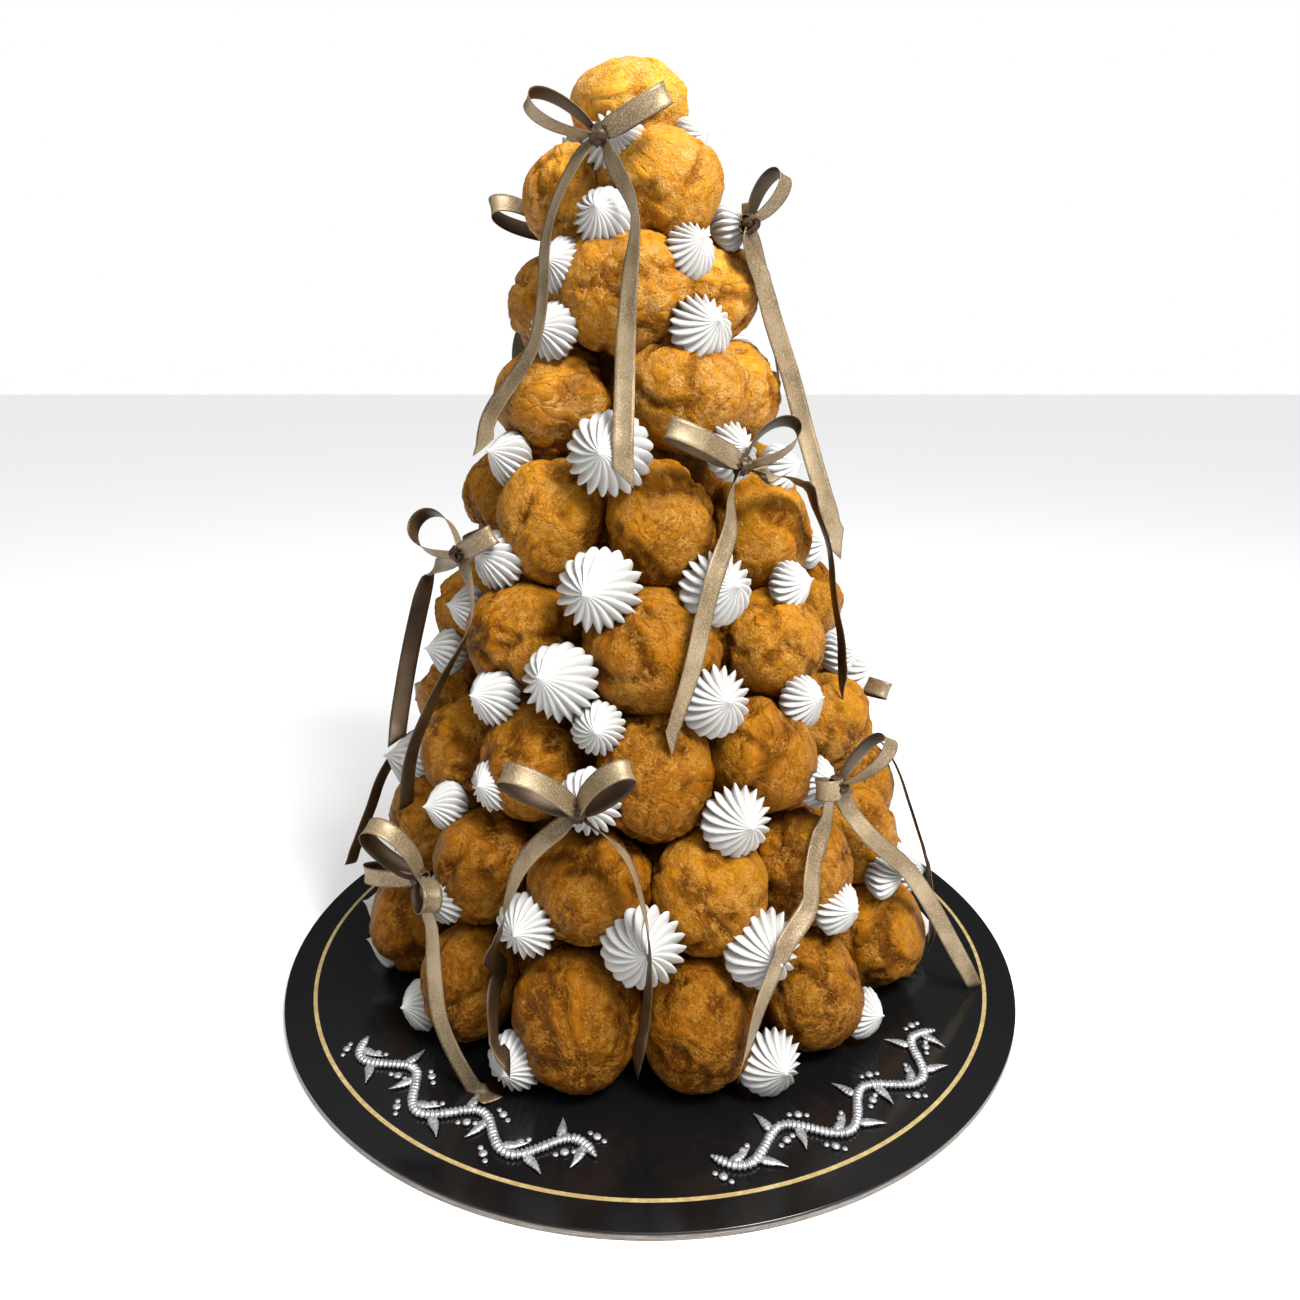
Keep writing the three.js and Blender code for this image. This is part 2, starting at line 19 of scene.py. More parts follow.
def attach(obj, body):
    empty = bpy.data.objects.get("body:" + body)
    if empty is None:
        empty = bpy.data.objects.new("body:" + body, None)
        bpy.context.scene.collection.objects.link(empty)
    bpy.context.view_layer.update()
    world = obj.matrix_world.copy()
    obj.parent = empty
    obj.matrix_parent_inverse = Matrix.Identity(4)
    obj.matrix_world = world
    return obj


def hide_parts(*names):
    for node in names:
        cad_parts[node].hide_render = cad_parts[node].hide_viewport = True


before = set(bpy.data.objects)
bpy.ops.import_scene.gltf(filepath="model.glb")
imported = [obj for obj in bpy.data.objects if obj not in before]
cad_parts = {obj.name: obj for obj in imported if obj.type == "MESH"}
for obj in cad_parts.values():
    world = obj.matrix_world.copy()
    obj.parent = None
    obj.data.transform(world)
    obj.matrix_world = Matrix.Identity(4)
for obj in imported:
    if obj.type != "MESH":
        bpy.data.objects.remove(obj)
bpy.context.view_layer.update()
mm = 0.001


def placed(name, data):
    """A new object in the scene, at the origin."""
    piece = bpy.data.objects.new(name, data)
    bpy.context.scene.collection.objects.link(piece)
    return piece


# %% [markdown]
# ## The camera
#
# The camera comes first, so that every later piece can be judged through it. It stands half a metre in
# front of the board's middle and looks down on it. So short a distance needs a wide lens, and makes the
# board's front edge look larger than its back. Setting these from real distances, not by eye, keeps the
# cone's taper right.

# %% Camera
board_top = 4 * mm
camera_ahead = 510.5 * mm
camera_above_board = 336.8 * mm
camera_down = 17.33  # degrees
image_side = 1300
focal_length_in_image = 1000

camera_data = bpy.data.cameras.new("camera")
camera_data.sensor_width = 36
camera_data.lens = camera_data.sensor_width * focal_length_in_image / image_side
camera = placed("camera", camera_data)
camera.location = (0, -camera_ahead, board_top + camera_above_board)
camera.rotation_euler = (math.radians(90 - camera_down), 0, 0)
bpy.context.scene.camera = camera
print("lens:", round(camera_data.lens, 2), "mm")

# %% [markdown]
# ## Where everything stands on the tower
#
# The cone is laid tier by tier, each ring a little smaller than the one below. A place on it is given by
# three numbers that a baker could point at: how far round it is, with 0 at the front, how high, and how
# far out from the cone's middle. All lengths here are in millimetres, and turn into Blender's metres where
# a mesh is made.

# %% Tiers of puffs
tower_back = 14
tower_shift = -1
tower_lean = -9
lean_height = 440
board_thickness = 4

# Each tier: the ring's radius, its rise above the board, the puffs in front as (way round in degrees,
# width, height, lift), how dark each of those is, from 0 to 1, partly from baking and partly painted
# shade that is deeper low on the cone, and how many more close the ring behind.
tiers = [
    dict(ring=132, rise=30, behind=7, front=[
        (-73, 52, 60), (-42, 48, 59), (-14.5, 60, 68, 2), (10.5, 54, 62), (38, 50, 59), (67, 54, 62)],
        bake=[0.85, 0.85, 0.95, 1.0, 0.85, 0.65]),
    dict(ring=116, rise=90, behind=7, front=[
        (-72, 52, 56), (-42, 50, 57), (-12.4, 58, 54, 5), (15, 54, 58), (41, 50, 58), (69, 52, 58, -6)],
        bake=[0.8, 0.85, 0.9, 0.6, 0.65, 0.6]),
    dict(ring=99, rise=145, behind=5, front=[
        (-90, 52, 52), (-60, 54, 56, -10), (-31, 50, 56), (3.6, 54, 62, -2), (35, 54, 54), (68, 54, 54)],
        bake=[0.6, 0.65, 0.8, 0.8, 0.7, 0.55]),
    dict(ring=83, rise=198, behind=4, front=[
        (-80, 50, 52), (-41.2, 58, 54), (3.8, 64, 60), (50, 52, 52, -5), (88, 50, 52, 3)],
        bake=[0.6, 0.7, 0.75, 0.5, 0.6]),
    dict(ring=65, rise=254, behind=3, front=[
        (-86, 50, 50, 4), (-36.9, 56, 60), (9.6, 50, 60), (63, 54, 58, -10)],
        bake=[0.5, 0.45, 0.6, 0.5]),
    dict(ring=48, rise=310, behind=2, front=[(-54, 56, 52, -2), (32, 60, 54, 2), (88, 50, 50)],
         bake=[0.6, 0.6, 0.5]),
    dict(ring=36, rise=359, behind=1, front=[(-86, 50, 50, -9), (-6.5, 63, 57, -2), (88, 50, 50, -1)],
         bake=[0.65, 0.55, 0.35]),
    dict(ring=28, rise=405, behind=1, front=[(-67, 48, 50, -7), (29, 58, 51, -3)], bake=[0.45, 0.42]),
    dict(ring=2, rise=442, behind=0, front=[(20, 56, 40, -2.5)], bake=[0.1]),
]
puff_width = 58
puff_height = 59
puff_depth = 56
puff_spread = 3
puff_tilt = 10  # degrees that a puff's crown looks up
up = Vector((0, 0, 1))


print("puffs:", sum(len(tier["front"]) + tier["behind"] for tier in tiers))

# %% Places on the tower
def axis_at(z):
    return Vector((tower_shift + tower_lean * (z - board_thickness) / lean_height, tower_back, z))


def outward(azimuth):
    return Vector((math.sin(math.radians(azimuth)), -math.cos(math.radians(azimuth)), 0))


def around(azimuth):
    return Vector((math.cos(math.radians(azimuth)), math.sin(math.radians(azimuth)), 0))


def on_tower(azimuth, z, radius):
    return axis_at(z) + outward(azimuth) * radius


def ring_at(z):
    """The ring's radius at any height, straight between the tiers."""
    rises = [tier["rise"] for tier in tiers]
    return float(np.interp(z - board_thickness, rises, [tier["ring"] for tier in tiers]))


def scatter(number):
    """An even, repeatable scatter between -1 and 1."""
    return number * 0.618034 % 1 * 2 - 1


def angles_behind(tier, count, first):
    """Evenly spaced azimuths behind a tier, counted in steps from its last front puff."""
    last = tier["front"][-1][0]
    step = (tier["front"][0][0] + 360 - last) / (tier["behind"] + 1)
    return [last + step * (i + first) for i in range(count)]


def tilted(azimuth, tilt):
    """The directions sideways, up along the surface, and outwards, of a piece that looks up by tilt."""
    out = outward(azimuth) * math.cos(math.radians(tilt)) + up * math.sin(math.radians(tilt))
    side = around(azimuth)
    return side, out.cross(side), out


print("ring in mm at a height of 100:", round(ring_at(100)))

# %% [markdown]
# ## Writing node trees as sums
#
# Shaders and Geometry Nodes are both node trees, and long chains of Math nodes are hard to read. The small
# class below wraps an output socket, so that an ordinary expression such as `1 - mask * 0.5` adds the
# nodes for it. Everything else comes from one method, `node`, which takes the node's type, its settings
# and the values or links of its sockets.

# %% Sums of sockets
class Wire:
    """An output socket that takes part in sums. A sum with a vector in it becomes a vector."""

    def __init__(self, tree, socket):
        self.tree = tree
        self.socket = socket

    def sum(self, operation, *values):
        vector = any(isinstance(v, Wire) and v.socket.type in ("VECTOR", "RGBA") for v in values)
        kind = "ShaderNodeVectorMath" if vector else "ShaderNodeMath"
        return node(self.tree, kind, {"operation": operation}, dict(enumerate(values)))

    def __add__(self, other):
        return self.sum("ADD", self, other)

    def __sub__(self, other):
        return self.sum("SUBTRACT", self, other)

    def __mul__(self, other):
        return self.sum("MULTIPLY", self, other)

    def __truediv__(self, other):
        return self.sum("DIVIDE", self, other)

    def __pow__(self, other):
        return self.sum("POWER", self, other)

    def __radd__(self, other):
        return self.sum("ADD", other, self)

    def __rsub__(self, other):
        return self.sum("SUBTRACT", other, self)

    def __rmul__(self, other):
        return self.sum("MULTIPLY", other, self)

    def __rtruediv__(self, other):
        return self.sum("DIVIDE", other, self)


def node(tree, kind, settings=None, sockets=None, out=None):
    """Adds a node, with its settings made first, and gives back one of its outputs."""
    made = tree.nodes.new(kind)
    for name, value in (settings or {}).items():
        if name == "stops":
            while len(made.color_ramp.elements) < len(value):
                made.color_ramp.elements.new(0.5)
            for element, (place, colour) in zip(made.color_ramp.elements, value):
                element.position = place
                element.color = (*colour, 1)
        elif name == "curve":
            points = made.mapping.curves[0].points
            while len(points) < len(value):
                points.new(0.5, 0.5)
            for point, place in zip(points, value):
                point.location = place
            made.mapping.update()
        else:
            setattr(made, name, value)
    for name, value in (sockets or {}).items():
        usable = [s for s in made.inputs if s.enabled]
        socket = usable[name] if isinstance(name, int) else next(
            s for s in usable if name in (s.identifier, s.name))
        if isinstance(value, Wire):
            tree.links.new(value.socket, socket)
        elif isinstance(value, (int, float)) and socket.type in ("VECTOR", "RGBA"):
            socket.default_value = [value] * len(socket.default_value)
        else:
            socket.default_value = value
    usable = [s for s in made.outputs if s.enabled]
    return Wire(tree, usable[0] if out is None else next(s for s in usable if s.name == out))


print("sums and nodes are ready")

# %% Nodes that are used often
def math_of(tree, operation, *values):
    """One Math node, such as a sine, for what has no operator."""
    return node(tree, "ShaderNodeMath", {"operation": operation}, dict(enumerate(values)))


def parts(tree, vector):
    """The x, y and z of a vector."""
    split = node(tree, "ShaderNodeSeparateXYZ", {}, {"Vector": vector}).socket.node
    return [Wire(tree, socket) for socket in split.outputs]


def joined(tree, *values):
    """A vector of three values."""
    return node(tree, "ShaderNodeCombineXYZ", {}, dict(enumerate(values)))


def curved(tree, value, *places):
    """Reads a curve that is drawn through places, at value."""
    return node(tree, "ShaderNodeFloatCurve", {"curve": places}, {"Value": value})


def noise(tree, place, scale, detail=2.0, roughness=0.5, seed=0.0, out="Fac"):
    """Cloudy noise from 0 to 1, about 0.5 on average."""
    return node(tree, "ShaderNodeTexNoise", {"noise_dimensions": "4D"}, {
        "Vector": place, "W": seed, "Scale": scale, "Detail": detail, "Roughness": roughness}, out)


def between(tree, value, low, high, start=0.0, end=1.0):
    """A smooth step of value from low to high, which goes from start to end."""
    return node(tree, "ShaderNodeMapRange", {"interpolation_type": "SMOOTHSTEP"}, {
        "Value": value, "From Min": low, "From Max": high, "To Min": start, "To Max": end})


def blend(tree, share, first, second):
    """Mixes two colours."""
    colours = [c if isinstance(c, Wire) else (*c, 1) for c in (first, second)]
    return node(tree, "ShaderNodeMix", {"data_type": "RGBA"}, {
        "Factor": share, "A_Color": colours[0], "B_Color": colours[1]})


print("maths, noise and colour nodes are ready")

# %% [markdown]
# ## Growing meshes with Geometry Nodes
#
# Sixty-six puffs and seventy-two rosettes are two shapes, each repeated with other sizes, turns and seeds.
# Modelling each by hand would be slow, and copies of one mesh would look cloned. So each tier is a handful
# of points that carry their own numbers as attributes. A tree puts a plain ball on every point, realizes
# the copies, and only then pushes their surface about, so that each follows its own point's numbers.

# %% Meshes and points
def meshed(name, verts, faces, material):
    """An object of these corners, in millimetres, and faces."""
    mesh = bpy.data.meshes.new(name)
    mesh.from_pydata([Vector(v) * mm for v in verts], [], faces)
    mesh.materials.append(material)
    return placed(name, mesh)


def points_with(name, rows):
    """A mesh of loose points. Each row gives one point's attributes, lengths in metres."""
    mesh = bpy.data.meshes.new(name)
    mesh.from_pydata([row["middle"] for row in rows], [], [])
    for key, value in rows[0].items():
        vector = isinstance(value, Vector)
        attribute = mesh.attributes.new(key, "FLOAT_VECTOR" if vector else "FLOAT", "POINT")
        values = np.array([row[key] for row in rows], dtype=np.float32).ravel()
        attribute.data.foreach_set("vector" if vector else "value", values)
    return mesh


print("meshes and points are ready")

# %% Trees that grow meshes
def geometry_tree(name, inputs):
    """An empty tree with a geometry in and out, and named inputs. Gives the tree and its input wires."""
    tree = bpy.data.node_groups.new(name, "GeometryNodeTree")
    tree.interface.new_socket("Geometry", in_out="INPUT", socket_type="NodeSocketGeometry")
    for label, (kind, value) in inputs.items():
        socket = tree.interface.new_socket(label, in_out="INPUT", socket_type="NodeSocket" + kind)
        if value is not None:
            socket.default_value = value
    tree.interface.new_socket("Geometry", in_out="OUTPUT", socket_type="NodeSocketGeometry")
    entry = tree.nodes.new("NodeGroupInput")
    return tree, {s.name: Wire(tree, s) for s in entry.outputs if s.name}


def stored(tree, geometry, name, value, kind="FLOAT"):
    return node(tree, "GeometryNodeStoreNamedAttribute", {"data_type": kind}, {
        "Geometry": geometry, "Name": name, "Value": value})


def carried(tree, name, kind="FLOAT"):
    return node(tree, "GeometryNodeInputNamedAttribute", {"data_type": kind}, {"Name": name})


def carried_vectors(tree, *names):
    return [carried(tree, name, "FLOAT_VECTOR") for name in names]


def copies_on(tree, points, shape, **more):
    """Puts a copy of a shape on each point, and makes the copies real."""
    copies = node(tree, "GeometryNodeInstanceOnPoints", {}, {"Points": points, "Instance": shape, **more})
    return node(tree, "GeometryNodeRealizeInstances", {}, {"Geometry": copies})


def moved_to(tree, geometry, place):
    return node(tree, "GeometryNodeSetPosition", {}, {"Geometry": geometry, "Position": place})


def finished(tree, geometry, material):
    """Ends a tree: copies made real, shaded smooth, with their material."""
    real = node(tree, "GeometryNodeRealizeInstances", {}, {"Geometry": geometry})
    smooth = node(tree, "GeometryNodeSetShadeSmooth", {}, {"Geometry": real, "Shade Smooth": True})
    made = node(tree, "GeometryNodeSetMaterial", {}, {"Geometry": smooth, "Material": material})
    tree.links.new(made.socket, tree.nodes.new("NodeGroupOutput").inputs["Geometry"])


def grown(name, seeds, tree, **inputs):
    """Runs a tree on a mesh of points, and keeps the result as a plain mesh."""
    piece = placed(name, seeds)
    modifier = piece.modifiers.new("grow", "NODES")
    modifier.node_group = tree
    for item in tree.interface.items_tree:
        key = item.name.replace(" ", "_").lower()
        if item.in_out == "INPUT" and key in inputs:
            modifier[item.identifier] = inputs[key]
    depsgraph = bpy.context.evaluated_depsgraph_get()
    mesh = bpy.data.meshes.new_from_object(
        piece.evaluated_get(depsgraph), preserve_all_data_layers=True, depsgraph=depsgraph)
    piece.modifiers.remove(modifier)
    piece.data = mesh
    return piece


print("growing is ready")

# %% Materials
def plain_material(name):
    """A material with its Principled shader. Gives the material, its tree and the shader."""
    material = bpy.data.materials.new(name)
    material.use_nodes = True
    tree = material.node_tree
    return material, tree, tree.nodes["Principled BSDF"]


def feed(shader, **wires):
    """Links wires, or sets plain values, on a shader's sockets. base_color stands for Base Color."""
    for key, value in wires.items():
        socket = next(s for s in shader.inputs if s.name.replace(" ", "_").lower() == key)
        if isinstance(value, Wire):
            shader.id_data.links.new(value.socket, socket)
        else:
            socket.default_value = value


def bump(tree, height, distance):
    """A bump whose height of 1 stands for distance, in metres."""
    return node(tree, "ShaderNodeBump", {}, {"Height": height, "Distance": distance, "Strength": 1.0})


def from_mesh(tree, name, out="Fac"):
    return node(tree, "ShaderNodeAttribute", {"attribute_name": name}, {}, out)


def on_object(tree):
    """Where a point of the surface lies on the object, in metres."""
    return node(tree, "ShaderNodeTexCoord", {}, {}, "Object")


print("material helpers are ready")

# %% [markdown]
# ## Choux crust
#
# Choux paste rises on its own steam, until its first skin tears. What is left of that skin lies on the puff
# in smooth, deep amber strips, and the crust between them is paler and rougher, with crumbs and fine
# threads. Painted light and shade make each puff lighter on top and browner underneath, and brownest in its
# creases, and a puff's browning is partly real and partly painted shade, deeper on the lower tiers. The
# tree that shapes a puff stores where its creases are and where each point lay on the ball, and the crust
# reads that and works out the same strips, so colour and shape agree.

# %% Relief shared by shape and colour
def drawn_out(tree, ball, crown, seed):
    """Places on a puff, drawn together from crown to foot, so that a pattern comes out in streaks."""
    high = ball.sum("DOT_PRODUCT", ball, crown)
    ring = ball - crown * high
    sway = noise(tree, ball, 1.4, 1.0, seed=seed + 3, out="Color") - 0.5
    ragged = (noise(tree, ball, 7.0, 3.0, 0.6, seed=seed + 5, out="Color") - 0.5) * 0.12
    return ring * (1.25 / (ring.sum("LENGTH", ring) + 0.25)) + sway + ragged + crown * (high * 0.3) + seed


def skin_plates(tree, ball, crown, seed, soft):
    """1 on the strips of first skin that were left where the crust tore, and 0 off them.

    They are some of the cells of a drawn-out pattern, and soft is how far their edges are drawn out.
    """
    cell = {"Vector": drawn_out(tree, ball, crown, seed), "Scale": 3.4, "Randomness": 0.9}
    draw = parts(tree, node(tree, "ShaderNodeTexVoronoi", {"feature": "F1"}, cell, "Color"))[0]
    border = node(tree, "ShaderNodeTexVoronoi", {"feature": "DISTANCE_TO_EDGE"}, cell)
    kept = between(tree, noise(tree, ball, 1.2, 2.0, seed=seed + 11), 0.4, 0.47)
    return between(tree, border, 0.03, 0.03 + soft) * between(tree, draw, 0.36, 0.4) * kept


def wrinkles(tree, ball, seed, scale):
    """1 along thin winding valleys and 0 between them."""
    bent = noise(tree, ball, scale, 3.0, 0.55, seed=seed)
    return between(tree, math_of(tree, "ABSOLUTE", bent - 0.5), 0.035, 0.0)


print("relief helpers are ready")

# %% Crust material
crust_relief = 1.4 * mm
crust_tint = (1.0, 0.62, 0.22, 1)  # butter and egg give its gloss a golden tint


def crust_material(name, stops, torn_light, torn_darkest):
    """stops run from the palest first skin to the darkest. The two others are the torn crust between."""
    material, tree, shader = plain_material(name)
    place = on_object(tree)
    ball, crown = (from_mesh(tree, key, "Vector") for key in ("ball", "crown"))
    seed, bake, crease, sky = (from_mesh(tree, key) for key in ("seed", "bake", "crease", "sky"))

    plate = skin_plates(tree, ball, crown, seed, 0.1)
    fibres = noise(tree, drawn_out(tree, ball, crown, seed), 7.0, 4.0, 0.6) - 0.5
    clouds = noise(tree, place, 42.0, 2.0) - 0.5
    patches = noise(tree, place, 150.0, 4.0, 0.6, seed=3.0) - 0.5
    crumbs = noise(tree, place, 640.0, 4.0, 0.65, seed=5.0) - 0.5
    woven = noise(tree, place, 330.0, 3.0, 0.6, seed=7.0) - 0.5
    net = between(tree, math_of(tree, "ABSOLUTE", woven), 0.06, 0.0)
    pits = between(tree, noise(tree, place, 1300.0, 2.0, seed=9.0), 0.66, 0.76)

    # Painted light and shade in the tone: darker in the creases, lighter on top of each puff and darker
    # underneath, and darker on the lower tiers along with the real browning.
    tone = (bake * 0.75 + clouds * 0.65 + patches * 0.5 + crease * 0.4 + pits * 0.1 - fibres * 0.4
            - crumbs * 0.3 + 0.21 - sky * 0.3 + plate * 0.06)
    skin = node(tree, "ShaderNodeValToRGB", {"stops": stops}, {"Fac": tone}, "Color")
    rough = clouds * 0.5 + patches * 1.1 + crumbs * 0.6 + net * 0.2 + fibres * 0.6 - crease * 0.1
    torn = between(tree, rough, -0.1, 0.3)
    colour = blend(tree, torn * (1 - plate * 0.8) * 0.85, skin, blend(tree, bake, torn_light, torn_darkest))
    height = (plate * 0.35 + crumbs * (0.9 - plate * 0.7) + net * (0.3 - plate * 0.25) + fibres * 0.2
              + patches * 0.7 - pits * 0.2)
    roughness = between(tree, patches + crumbs - plate * 0.4, -0.45, 0.3, 0.36, 0.62)
    feed(shader, base_color=colour, roughness=roughness, normal=bump(tree, height, crust_relief),
         specular_ior_level=0.22, specular_tint=crust_tint)
    return material


crust_tones = [(0.0, (0.58, 0.265, 0.014)), (0.3, (0.40, 0.157, 0.006)), (0.62, (0.215, 0.071, 0.002)),
               (1.0, (0.075, 0.02, 0.0003))]
# The upper tiers get this paler crust, partly for lighter baking and partly as painted light, which falls
# brighter on them.
pale_tones = [(0.0, (0.69, 0.36, 0.045)), (0.3, (0.50, 0.21, 0.016)), (0.62, (0.29, 0.105, 0.004)),
              (1.0, (0.12, 0.035, 0.0006))]
crust = crust_material("choux_crust", crust_tones, (0.64, 0.33, 0.07), (0.36, 0.15, 0.018))
pale_crust = crust_material("choux_crust_pale", pale_tones, (0.73, 0.41, 0.13), (0.46, 0.21, 0.045))
print("crusts:", crust.name, pale_crust.name)

# %% [markdown]
# ## The puffs
#
# A puff starts as a cube whose faces are cut into a grid and pushed out to a ball. Unlike a globe of
# meridians it has no poles, so its facets stay even. Slow noise makes its lopsided bulge. A few wide cells
# with soft borders make its lobes, which meet in creases where the paste split as it rose. The strips of
# first skin stand a little proud, and streaks, small noise and winding wrinkles roughen the rest.

# %% Tree: choux puff
def puff_tree():
    tree, wire = geometry_tree("choux puff", {
        "Facets": ("Int", 31), "Swell": ("Float", 1.02), "Bulge": ("Float", 0.11), "Split": ("Float", 0.1),
        "Plates": ("Float", 0.022), "Streaks": ("Float", 0.05), "Roughness": ("Float", 0.022),
        "Wrinkles": ("Float", 0.022), "Crust": ("Material", None)})
    cube = node(tree, "GeometryNodeMeshCube", {}, {
        "Size": (2.0, 2.0, 2.0), "Vertices X": wire["Facets"], "Vertices Y": wire["Facets"],
        "Vertices Z": wire["Facets"]})
    on_cube = parts(tree, node(tree, "GeometryNodeInputPosition"))
    direction = joined(tree, *(math_of(tree, "TANGENT", part * (math.pi / 4)) for part in on_cube))
    ball = stored(tree, cube, "ball", direction.sum("NORMALIZE", direction), "FLOAT_VECTOR")
    real = copies_on(tree, wire["Geometry"], ball)

    unit, crown = carried_vectors(tree, "ball", "crown")
    seed = carried(tree, "seed")
    bulge = noise(tree, unit, 0.9, 1.0, seed=seed) * 2 - 1
    stir = noise(tree, unit, 1.5, 2.0, seed=seed + 7, out="Color") - 0.5
    border = node(tree, "ShaderNodeTexVoronoi", {
        "voronoi_dimensions": "4D", "feature": "DISTANCE_TO_EDGE"}, {
        "Vector": unit + stir * 0.6, "W": seed, "Scale": 0.9})
    where = between(tree, noise(tree, unit, 1.4, seed=seed + 13), 0.42, 0.58)
    split = between(tree, border, 0.15, 0.0) * where
    plate = skin_plates(tree, unit, crown, seed, 0.14)
    streaks = noise(tree, drawn_out(tree, unit, crown, seed + 9), 2.2, 2.0) - 0.5
    rough = noise(tree, unit + stir * 0.4, 3.4, 2.5, 0.6, seed=seed + 5) - 0.5
    wrinkled = between(tree, noise(tree, unit, 1.2, seed=seed + 19), 0.4, 0.6)
    folded = wrinkles(tree, unit, seed + 17, 1.7) * wrinkled
    reach = (wire["Swell"] + bulge * wire["Bulge"] - split * wire["Split"] + plate * wire["Plates"]
             + streaks * wire["Streaks"] + rough * wire["Roughness"] - folded * wire["Wrinkles"])

    x, y, z = parts(tree, unit)
    middle, side, rise, out = carried_vectors(tree, "middle", "side", "rise", "out")
    moved = moved_to(tree, real, middle + side * (x * reach) + rise * (y * reach) + out * (z * reach))
    # The creases are stored so that the crust can paint shade into them.
    creased = stored(tree, moved, "crease", split + folded * 0.4)
    # sky is 1 on top of a puff and 0 underneath, so that the crust can paint light on top and shade below.
    finished(tree, stored(tree, creased, "sky", y * 0.5 + 0.5), wire["Crust"])
    return tree


choux_puff = puff_tree()
print("tree:", choux_puff.name, len(choux_puff.nodes), "nodes")

# %% Grow the puffs
tier_seed = 31
behind_seed = 17
seed_step = 7.3
seed_span = 97
bake_spread = 0.15  # how much the puffs behind differ in browning
pale_from = 6  # the tier from which the crust is paler
loosest_crown = 80  # degrees between a puff's own crown and straight outwards


def puff_rows(tier, tier_number):
    behind = []
    for i, azimuth in enumerate(angles_behind(tier, tier["behind"], 1)):
        number = behind_seed * tier_number + i
        behind.append((azimuth, puff_width + puff_spread * scatter(number),
                       puff_height + puff_spread * scatter(number + 5), puff_spread * scatter(number + 9)))
    usual = sum(tier["bake"]) / len(tier["bake"])
    bakes_and_shades = tier["bake"] + [usual + bake_spread * scatter(3 * i) for i in range(len(behind))]
    rows = []
    for i, (azimuth, width, height, *lift) in enumerate([*tier["front"], *behind]):
        number = tier_seed * tier_number + i
        z = board_thickness + tier["rise"] + sum(lift)
        depth = min(width, puff_depth + puff_spread * scatter(number + 3))
        side, rise, out = tilted(azimuth, puff_tilt)
        lean = math.radians(loosest_crown) * (0.5 + 0.5 * scatter(3 * number + 1))
        turn = math.pi * scatter(5 * number + 2)
        crown = Vector((math.sin(lean) * math.cos(turn), math.sin(lean) * math.sin(turn), math.cos(lean)))
        rows.append(dict(
            middle=on_tower(azimuth, z, tier["ring"]) * mm, side=side * width / 2 * mm,
            rise=rise * height / 2 * mm, out=out * depth / 2 * mm, crown=crown,
            seed=seed_step * number % seed_span, bake=bakes_and_shades[i]))
    return rows


puffs = []
for tier_number, tier in enumerate(tiers):
    name = f"puff_tier_{tier_number + 1}"
    rows = puff_rows(tier, tier_number)
    paler = tier_number + 1 >= pale_from
    piece = grown(f"choux_{tier_number + 1}", points_with(name, rows), choux_puff,
                  crust=pale_crust if paler else crust)
    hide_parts(name)
    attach(piece, "root")
    puffs.append(piece)
    print(piece.name, len(rows), "puffs,", len(piece.data.polygons), "faces")

# %% [markdown]
# ## Piped cream
#
# A rosette is one squeeze from a star nozzle: a drop with nineteen sharp crests, which turn a little as
# the bag is twisted and meet in a soft point. A crest has straight sides and leans over to one side, as a
# saw's tooth does. A globe of meridians suits it, with six meridians to a crest, one of which lies close to
# its edge and keeps it crisp.

# %% Cream material
cream_white = (0.61, 0.61, 0.60)
cream_warm = (0.54, 0.535, 0.52)
cream_valley_shade = (0.34, 0.325, 0.295)
cream_relief = 0.16 * mm


def cream_material():
    material, tree, shader = plain_material("whipped_cream")
    place = on_object(tree)
    tint = noise(tree, place, 90.0, 2.0, 0.5)
    white = blend(tree, between(tree, tint, 0.35, 0.7), cream_warm, cream_white)
    # Painted shade: the cream is darkened in the valleys between its crests.
    shaded = blend(tree, from_mesh(tree, "valley") * 0.85, white, cream_valley_shade)
    drag = noise(tree, place, 900.0, 3.0, 0.55, seed=2.0) + noise(tree, place, 260.0, 2.0, 0.5) * 0.8
    feed(shader, base_color=shaded, roughness=between(tree, tint, 0.3, 0.7, 0.34, 0.46),
         normal=bump(tree, drag, cream_relief), subsurface_weight=0.12, subsurface_scale=0.5,
         subsurface_radius=(0.004, 0.003, 0.002), specular_ior_level=0.4)
    return material


whipped_cream = cream_material()
print("cream:", whipped_cream.name)

# %% Tree: cream rosette
crest_lean = 0.66  # of the way across a crest, where its edge stands


